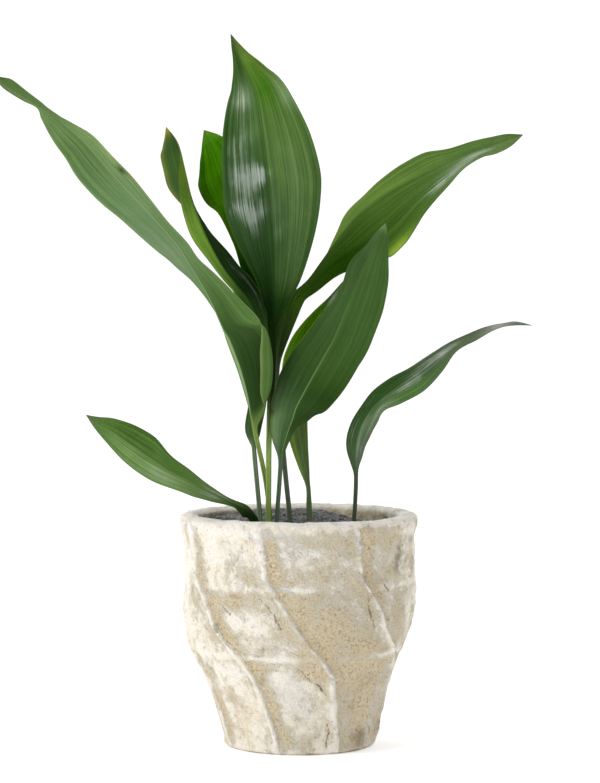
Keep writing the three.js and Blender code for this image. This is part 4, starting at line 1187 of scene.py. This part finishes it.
def leaf_directions(table, u):
    """Across A = unit(T x Y') and forward N = unit(A x T) at the places u, with T along the midrib."""
    last = len(table) - 1
    ahead, behind = np.minimum(u + DIRECTION_REACH, last), np.maximum(u - DIRECTION_REACH, 0.0)
    along = unit(spline(table, ahead)[:, :3] - spline(table, behind)[:, :3])
    aside = unit(np.cross(along, np.array([0.0, -1.0, 0.0])))
    return aside, unit(np.cross(aside, along))


def half_blades(at, s, wave):
    """The middle of a blade over its grid, as places across and forward, its normal and its half widths.

    A half blade is Q(s) = 2 s (1 - s) bend + s^2 margin, and its normal is its slope turned by a quarter.
    """
    m = np.abs(s)

    def halves(left, right):
        """Values along the leaf for the left half, and others for the right half."""
        return np.where(s < 0, left[:, None], right[:, None])

    margin_a, margin_b = halves(-at[:, 3], at[:, 5]), halves(at[:, 4] + wave, at[:, 6] - wave)
    bend_a, bend_b = halves(-at[:, 7], at[:, 9]), halves(at[:, 8], at[:, 10])
    qa = 2 * m * (1 - m) * bend_a + m ** 2 * margin_a
    qb = 2 * m * (1 - m) * bend_b + m ** 2 * margin_b
    da, db = np.gradient(qa, axis=1), np.gradient(qb, axis=1)
    size = np.maximum(np.hypot(da, db), 1e-6)
    return qa, qb, -db / size, da / size, np.hypot(margin_a, margin_b)


def pleat_field(s, u, seed):
    """Height of the parallel pleats along a blade: 0.8 noise(9 s, u / 2) + 0.45 noise(21 s, 0.7 u)."""
    broad = lattice(grid_of(s * 9.0, u[:, None] * 0.5, seed + 0.5), seed)
    fine = lattice(grid_of(s * 21.0, u[:, None] * 0.7, seed + 0.5), seed + 7)
    return 0.8 * broad + 0.45 * fine


def leaf_mesh(name, leaf, look, settings):
    """One leaf as a closed skin.

    With the midrib at P(u), the front lies at P + Q + n (t - groove) and the back at P + Q - n (t + rib), in
    the plane of A and N. Q is the half blades with their pleats, n their normal and t the half thickness.
    Below the blade the ring is a round stalk, and the two are blended by smoothstep of the height.
    """
    table = leaf_table(leaf["rows"])
    last = len(table) - 1
    u = np.linspace(0.0, last - TIP_SHORT, LEAF_STEPS)
    s = places_across(LEAF_ACROSS)
    m = np.abs(s)
    at = spline(table, u)
    aside, forward = leaf_directions(table, u)
    blade = smooth(*leaf["blade"], at[:, 2])
    b = blade[:, None]
    taper = np.clip((last - u) / TIP_TAPER, 0.06, 1.0)
    qa, qb, na, nb, half_width = half_blades(at, s, leaf["wave"] * blade * taper * np.sin(u * 4.1))
    seed = FIRST_LEAF_SEED + sorted(LEAVES).index(name)
    pleat = settings.pleat_depth * pleat_field(s, u, seed) * smooth(*PLEATED_WIDTHS, half_width)
    pleat = pleat * b * (1.0 - m ** 8)
    qa, qb = qa + na * pleat, qb + nb * pleat
    taper = taper[:, None]
    rib = MIDRIB_RISE * taper * np.clip(1.0 - m / MIDRIB_HALF_WIDTH, 0.0, 1.0) ** 0.8
    thick = BLADE_HALF_THICKNESS * (1.0 - 0.55 * m ** 3) * np.minimum(taper * 1.6, 1.0)
    stalk_a, stalk_b = leaf["stalk"] * np.sin(s * math.pi / 2.0), leaf["stalk"] * np.cos(s * math.pi / 2.0)

    def skin(side, lift, forward_stalk):
        """One face: side is 1 at the front and -1 at the back, lift its distance from the middle."""
        a = stalk_a * (1 - b) + (qa + side * na * lift) * b
        c = forward_stalk * (1 - b) + (qb + side * nb * lift) * b
        return at[:, None, :3] + a[..., None] * aside[:, None, :] + c[..., None] * forward[:, None, :]

    groove = STALK_GROOVE * leaf["stalk"] * bell(s, STALK_GROOVE_WIDTH)
    front, back = skin(1.0, thick - MIDRIB_GROOVE * rib, stalk_b - groove), skin(-1.0, thick + rib, -stalk_b)
    length = np.concatenate([[0.0], np.cumsum(np.linalg.norm(np.diff(at[:, :3], axis=0), axis=1))])
    start = length[np.argmax(blade > 0.02)]
    v = np.clip((length - start) / (length[-1] - start), 0.0, 1.0)
    surface = grid_of((s + 1.0) / 2.0, (length / UV_LENGTH)[:, None])
    uv = np.concatenate([surface, surface[:, ::-1] + np.array([BACK_UV_SHIFT, 0.0])], axis=1)
    shares = leaf_shares(look, at, s, v, blade, length / start)
    return closed_mesh(name + "_blade", np.concatenate([front, back[:, ::-1]], axis=1), shares, uv)


def leaf_finish(name, look, settings):
    """Living leaf: its own tint, with painted light and shade in it, darker and lighter by fine parallel
    veins that follow the surface, and a painted highlight where the coat shines.
    """
    f = Finish(name + "_skin", {"Specular IOR Level": 0.0, "Coat Roughness": 0.2, "Coat IOR": 2.2})
    surface = f.node("ShaderNodeUVMap", {"uv_map": "surface"})
    tint, sheen = f.attribute("tint", out="Color"), f.attribute("sheen")
    from_rib = abs(f.node("ShaderNodeSeparateXYZ", {}, {0: surface}) - 0.5)
    count = settings.vein_count * look["fine"]
    veins = f.noise(f.stretch(surface, (count, 2.0, 0.0)), 1.0, 2.0, 0.6)
    bands = f.noise(f.stretch(surface, (count * 0.3, 1.1, 0.0)), 1.0, 2.0, 0.6)
    streak = f.noise(f.stretch(surface, (count * 0.8, 5.0, 0.0)), 1.0, 3.0, 0.65)
    clouds = f.noise(f.place(), 26.0, 3.0, 0.6)
    light = veins.step(0.34, 0.68) * 0.45 + bands.step(0.3, 0.7) * 0.35 + clouds.step(0.3, 0.7) * 0.2
    light = (light - 0.5) * f.attribute("open") + 0.5
    darker = f.mix(1.0, tint, (0.46, 0.52, 0.42, 1.0), "MULTIPLY")
    paler = f.mix(1.0, tint, (1.66, 1.54, 1.64, 1.0), "MULTIPLY")
    base = f.mix(light, darker, paler)
    base = f.mix((1.0 - from_rib.step(0.006, 0.018)) * f.attribute("rib"), base, ink(look["rib"]))
    coat = (sheen * (streak * 4.2 + bands * 2.0 + clouds * 3.0 - 3.6)).step(0.2, 1.2) * settings.leaf_gloss
    # painted highlight: the colour turns whitish where the coat shines
    base = f.mix(coat * 0.4, base, ink(PAINTED_HIGHLIGHT))
    rough = look["rough"] + veins * 0.14 + bands * 0.1
    return f.feed(base=base, rough=rough, normal=f.bump(veins + bands * 1.2, 0.0008, 0.9), coat=coat)


# Settings, operators and panel

class PlantSettings(bpy.types.PropertyGroup):
    """Sizes and colours of the plant that a user would change."""

    pleat_depth: bpy.props.FloatProperty(
        name="Pleat depth", description="How deep the blades' parallel pleats are, in millimetres",
        default=0.42, min=0.0, max=2.0)
    vein_count: bpy.props.FloatProperty(
        name="Veins", description="How many fine veins cross one blade", default=95.0, min=10.0, max=300.0)
    leaf_gloss: bpy.props.FloatProperty(
        name="Leaf gloss", description="Strength of the waxy coat on the leaves",
        default=1.0, min=0.0, max=1.0, subtype="FACTOR")
    pot_white: bpy.props.IntVectorProperty(
        name="Limewash", description="Display colour of the pale wash on the pot",
        default=(245, 240, 229), min=0, max=255)
    pot_tan: bpy.props.IntVectorProperty(
        name="Sand", description="Display colour of the bare sandy cement",
        default=(252, 230, 182), min=0, max=255)
    soil_dark: bpy.props.IntVectorProperty(
        name="Soil, dark", description="Display colour of the soil's hollows",
        default=(92, 92, 93), min=0, max=255)
    soil_light: bpy.props.IntVectorProperty(
        name="Soil, light", description="Display colour of the soil's crumbs",
        default=(150, 150, 148), min=0, max=255)
    floor_shade: bpy.props.FloatProperty(
        name="Floor", description="How pale the studio floor is",
        default=0.86, min=0.0, max=1.0, subtype="FACTOR")
    key_power: bpy.props.FloatProperty(
        name="Key light", description="Power of the large light at the left",
        default=42.0, min=0.0, unit="POWER")


class PLANT_OT_pot(bpy.types.Operator):
    """Build the ridged cement pot"""

    bl_idname = "plant.pot"
    bl_label = "Pot"

    def execute(self, context):
        add_piece("pot_body", pot_mesh(), "pot", cement(context.scene.plant))
        return {"FINISHED"}


class PLANT_OT_soil(bpy.types.Operator):
    """Build the soil, its loose crumbs and the rootstock's finish"""

    bl_idname = "plant.soil"
    bl_label = "Soil"

    def execute(self, context):
        mix = earth(context.scene.plant)
        add_piece("soil_bed", soil_mesh(), "soil", mix)
        add_piece("soil_crumbs", crumb_mesh(), "soil", mix)
        bark = Finish("rootstock_bark", {"Base Color": ink(ROOTSTOCK_BARK), "Roughness": 0.8})
        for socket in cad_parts["rhizome"].material_slots:
            socket.material = bark.material
        return {"FINISHED"}


class PLANT_OT_leaves(bpy.types.Operator):
    """Build the nine leaves"""

    bl_idname = "plant.leaves"
    bl_label = "Leaves"

    def execute(self, context):
        settings = context.scene.plant
        for name, leaf in LEAVES.items():
            look = {**PLAIN_LOOK, **LOOKS[name]}
            mesh = leaf_mesh(name, leaf, look, settings)
            add_piece(name + "_blade", mesh, name, leaf_finish(name, look, settings))
        return {"FINISHED"}


def add_light(name, place, size, power):
    """An area light of a width and height at a place, turned to the plant."""
    data = bpy.data.lights.new(name, "AREA")
    data.shape = "RECTANGLE"
    data.size, data.size_y = size
    data.energy = power
    lamp = put(name, data)
    lamp.location = place
    lamp.rotation_euler = (Vector(LIGHT_TARGET) - Vector(place)).to_track_quat("-Z", "Y").to_euler()


def add_floor(shade):
    """The pale floor, a square that glows a little so that it stays pale far away."""
    mesh = bpy.data.meshes.new("studio_floor")
    r = FLOOR_HALF
    mesh.from_pydata([(-r, -r, 0.0), (r, -r, 0.0), (r, r, 0.0), (-r, r, 0.0)], [], [(0, 1, 2, 3)])
    paint = Finish("studio_white", {
        "Base Color": (shade, shade, shade, 1.0), "Roughness": 0.9, "Specular IOR Level": 0.0,
        "Emission Color": WHITE, "Emission Strength": FLOOR_GLOW})
    mesh.materials.append(paint.material)
    floor = put("studio_floor", mesh)


def add_world():
    """A white studio, brighter behind the plant than in front of it."""
    world = bpy.data.worlds.new("studio")
    world.use_nodes = True
    tree = world.node_tree
    background = tree.nodes["Background"]
    background.inputs["Color"].default_value = WHITE
    coordinates = tree.nodes.new("ShaderNodeTexCoord")
    split = tree.nodes.new("ShaderNodeSeparateXYZ")
    level = tree.nodes.new("ShaderNodeMapRange")
    sockets = ("From Min", "From Max", "To Min", "To Max")
    for key, value in zip(sockets, (*WORLD_SPAN, WORLD_FRONT, WORLD_BACK)):
        level.inputs[key].default_value = value
    tree.links.new(coordinates.outputs["Generated"], split.inputs["Vector"])
    tree.links.new(split.outputs["Y"], level.inputs["Value"])
    tree.links.new(level.outputs["Result"], background.inputs["Strength"])
    bpy.context.scene.world = world


def add_camera():
    """The camera at the reference picture's place and angle."""
    lens = bpy.data.cameras.new("viewpoint")
    lens.sensor_fit = "AUTO"
    lens.sensor_width = SENSOR_WIDTH
    lens.lens = LENS_LENGTH
    lens.clip_end = CLIP_END
    camera = put("viewpoint", lens)
    camera.location = CAMERA_PLACE
    camera.rotation_euler = (math.radians(90.0 - CAMERA_DIP), 0.0, 0.0)
    bpy.context.scene.camera = camera


class PLANT_OT_stage(bpy.types.Operator):
    """Build the pale floor, the soft studio light and the camera"""

    bl_idname = "plant.stage"
    bl_label = "Stage"

    def execute(self, context):
        settings = context.scene.plant
        add_floor(settings.floor_shade)
        add_world()
        context.scene.view_settings.view_transform = "Standard"
        for light in (("key_left", KEY_PLACE, KEY_SIZE, settings.key_power), *SOFT_LIGHTS):
            add_light(*light)
        add_camera()
        return {"FINISHED"}


class PLANT_PT_panel(bpy.types.Panel):
    """Sidebar panel with the plant's settings and its builders"""

    bl_idname = "PLANT_PT_panel"
    bl_label = "Potted Plant"
    bl_space_type = "VIEW_3D"
    bl_region_type = "UI"
    bl_category = "Plant"

    def draw(self, context):
        for key in PlantSettings.__annotations__:
            self.layout.prop(context.scene.plant, key)
        for operator in BUILDERS:
            self.layout.operator(operator.bl_idname)


BUILDERS = (PLANT_OT_stage, PLANT_OT_pot, PLANT_OT_soil, PLANT_OT_leaves)
CLASSES = (PlantSettings, *BUILDERS, PLANT_PT_panel)


def register():
    """Adds the classes and the scene's settings."""
    for item in CLASSES:
        bpy.utils.register_class(item)
    bpy.types.Scene.plant = bpy.props.PointerProperty(type=PlantSettings)


def unregister():
    """Takes the settings and the classes out again."""
    del bpy.types.Scene.plant
    for item in reversed(CLASSES):
        bpy.utils.unregister_class(item)


def main():
    """Builds the stage and every piece."""
    register()
    bpy.ops.plant.stage()
    bpy.ops.plant.pot()
    bpy.ops.plant.soil()
    bpy.ops.plant.leaves()


if __name__ == "__main__":
    main()
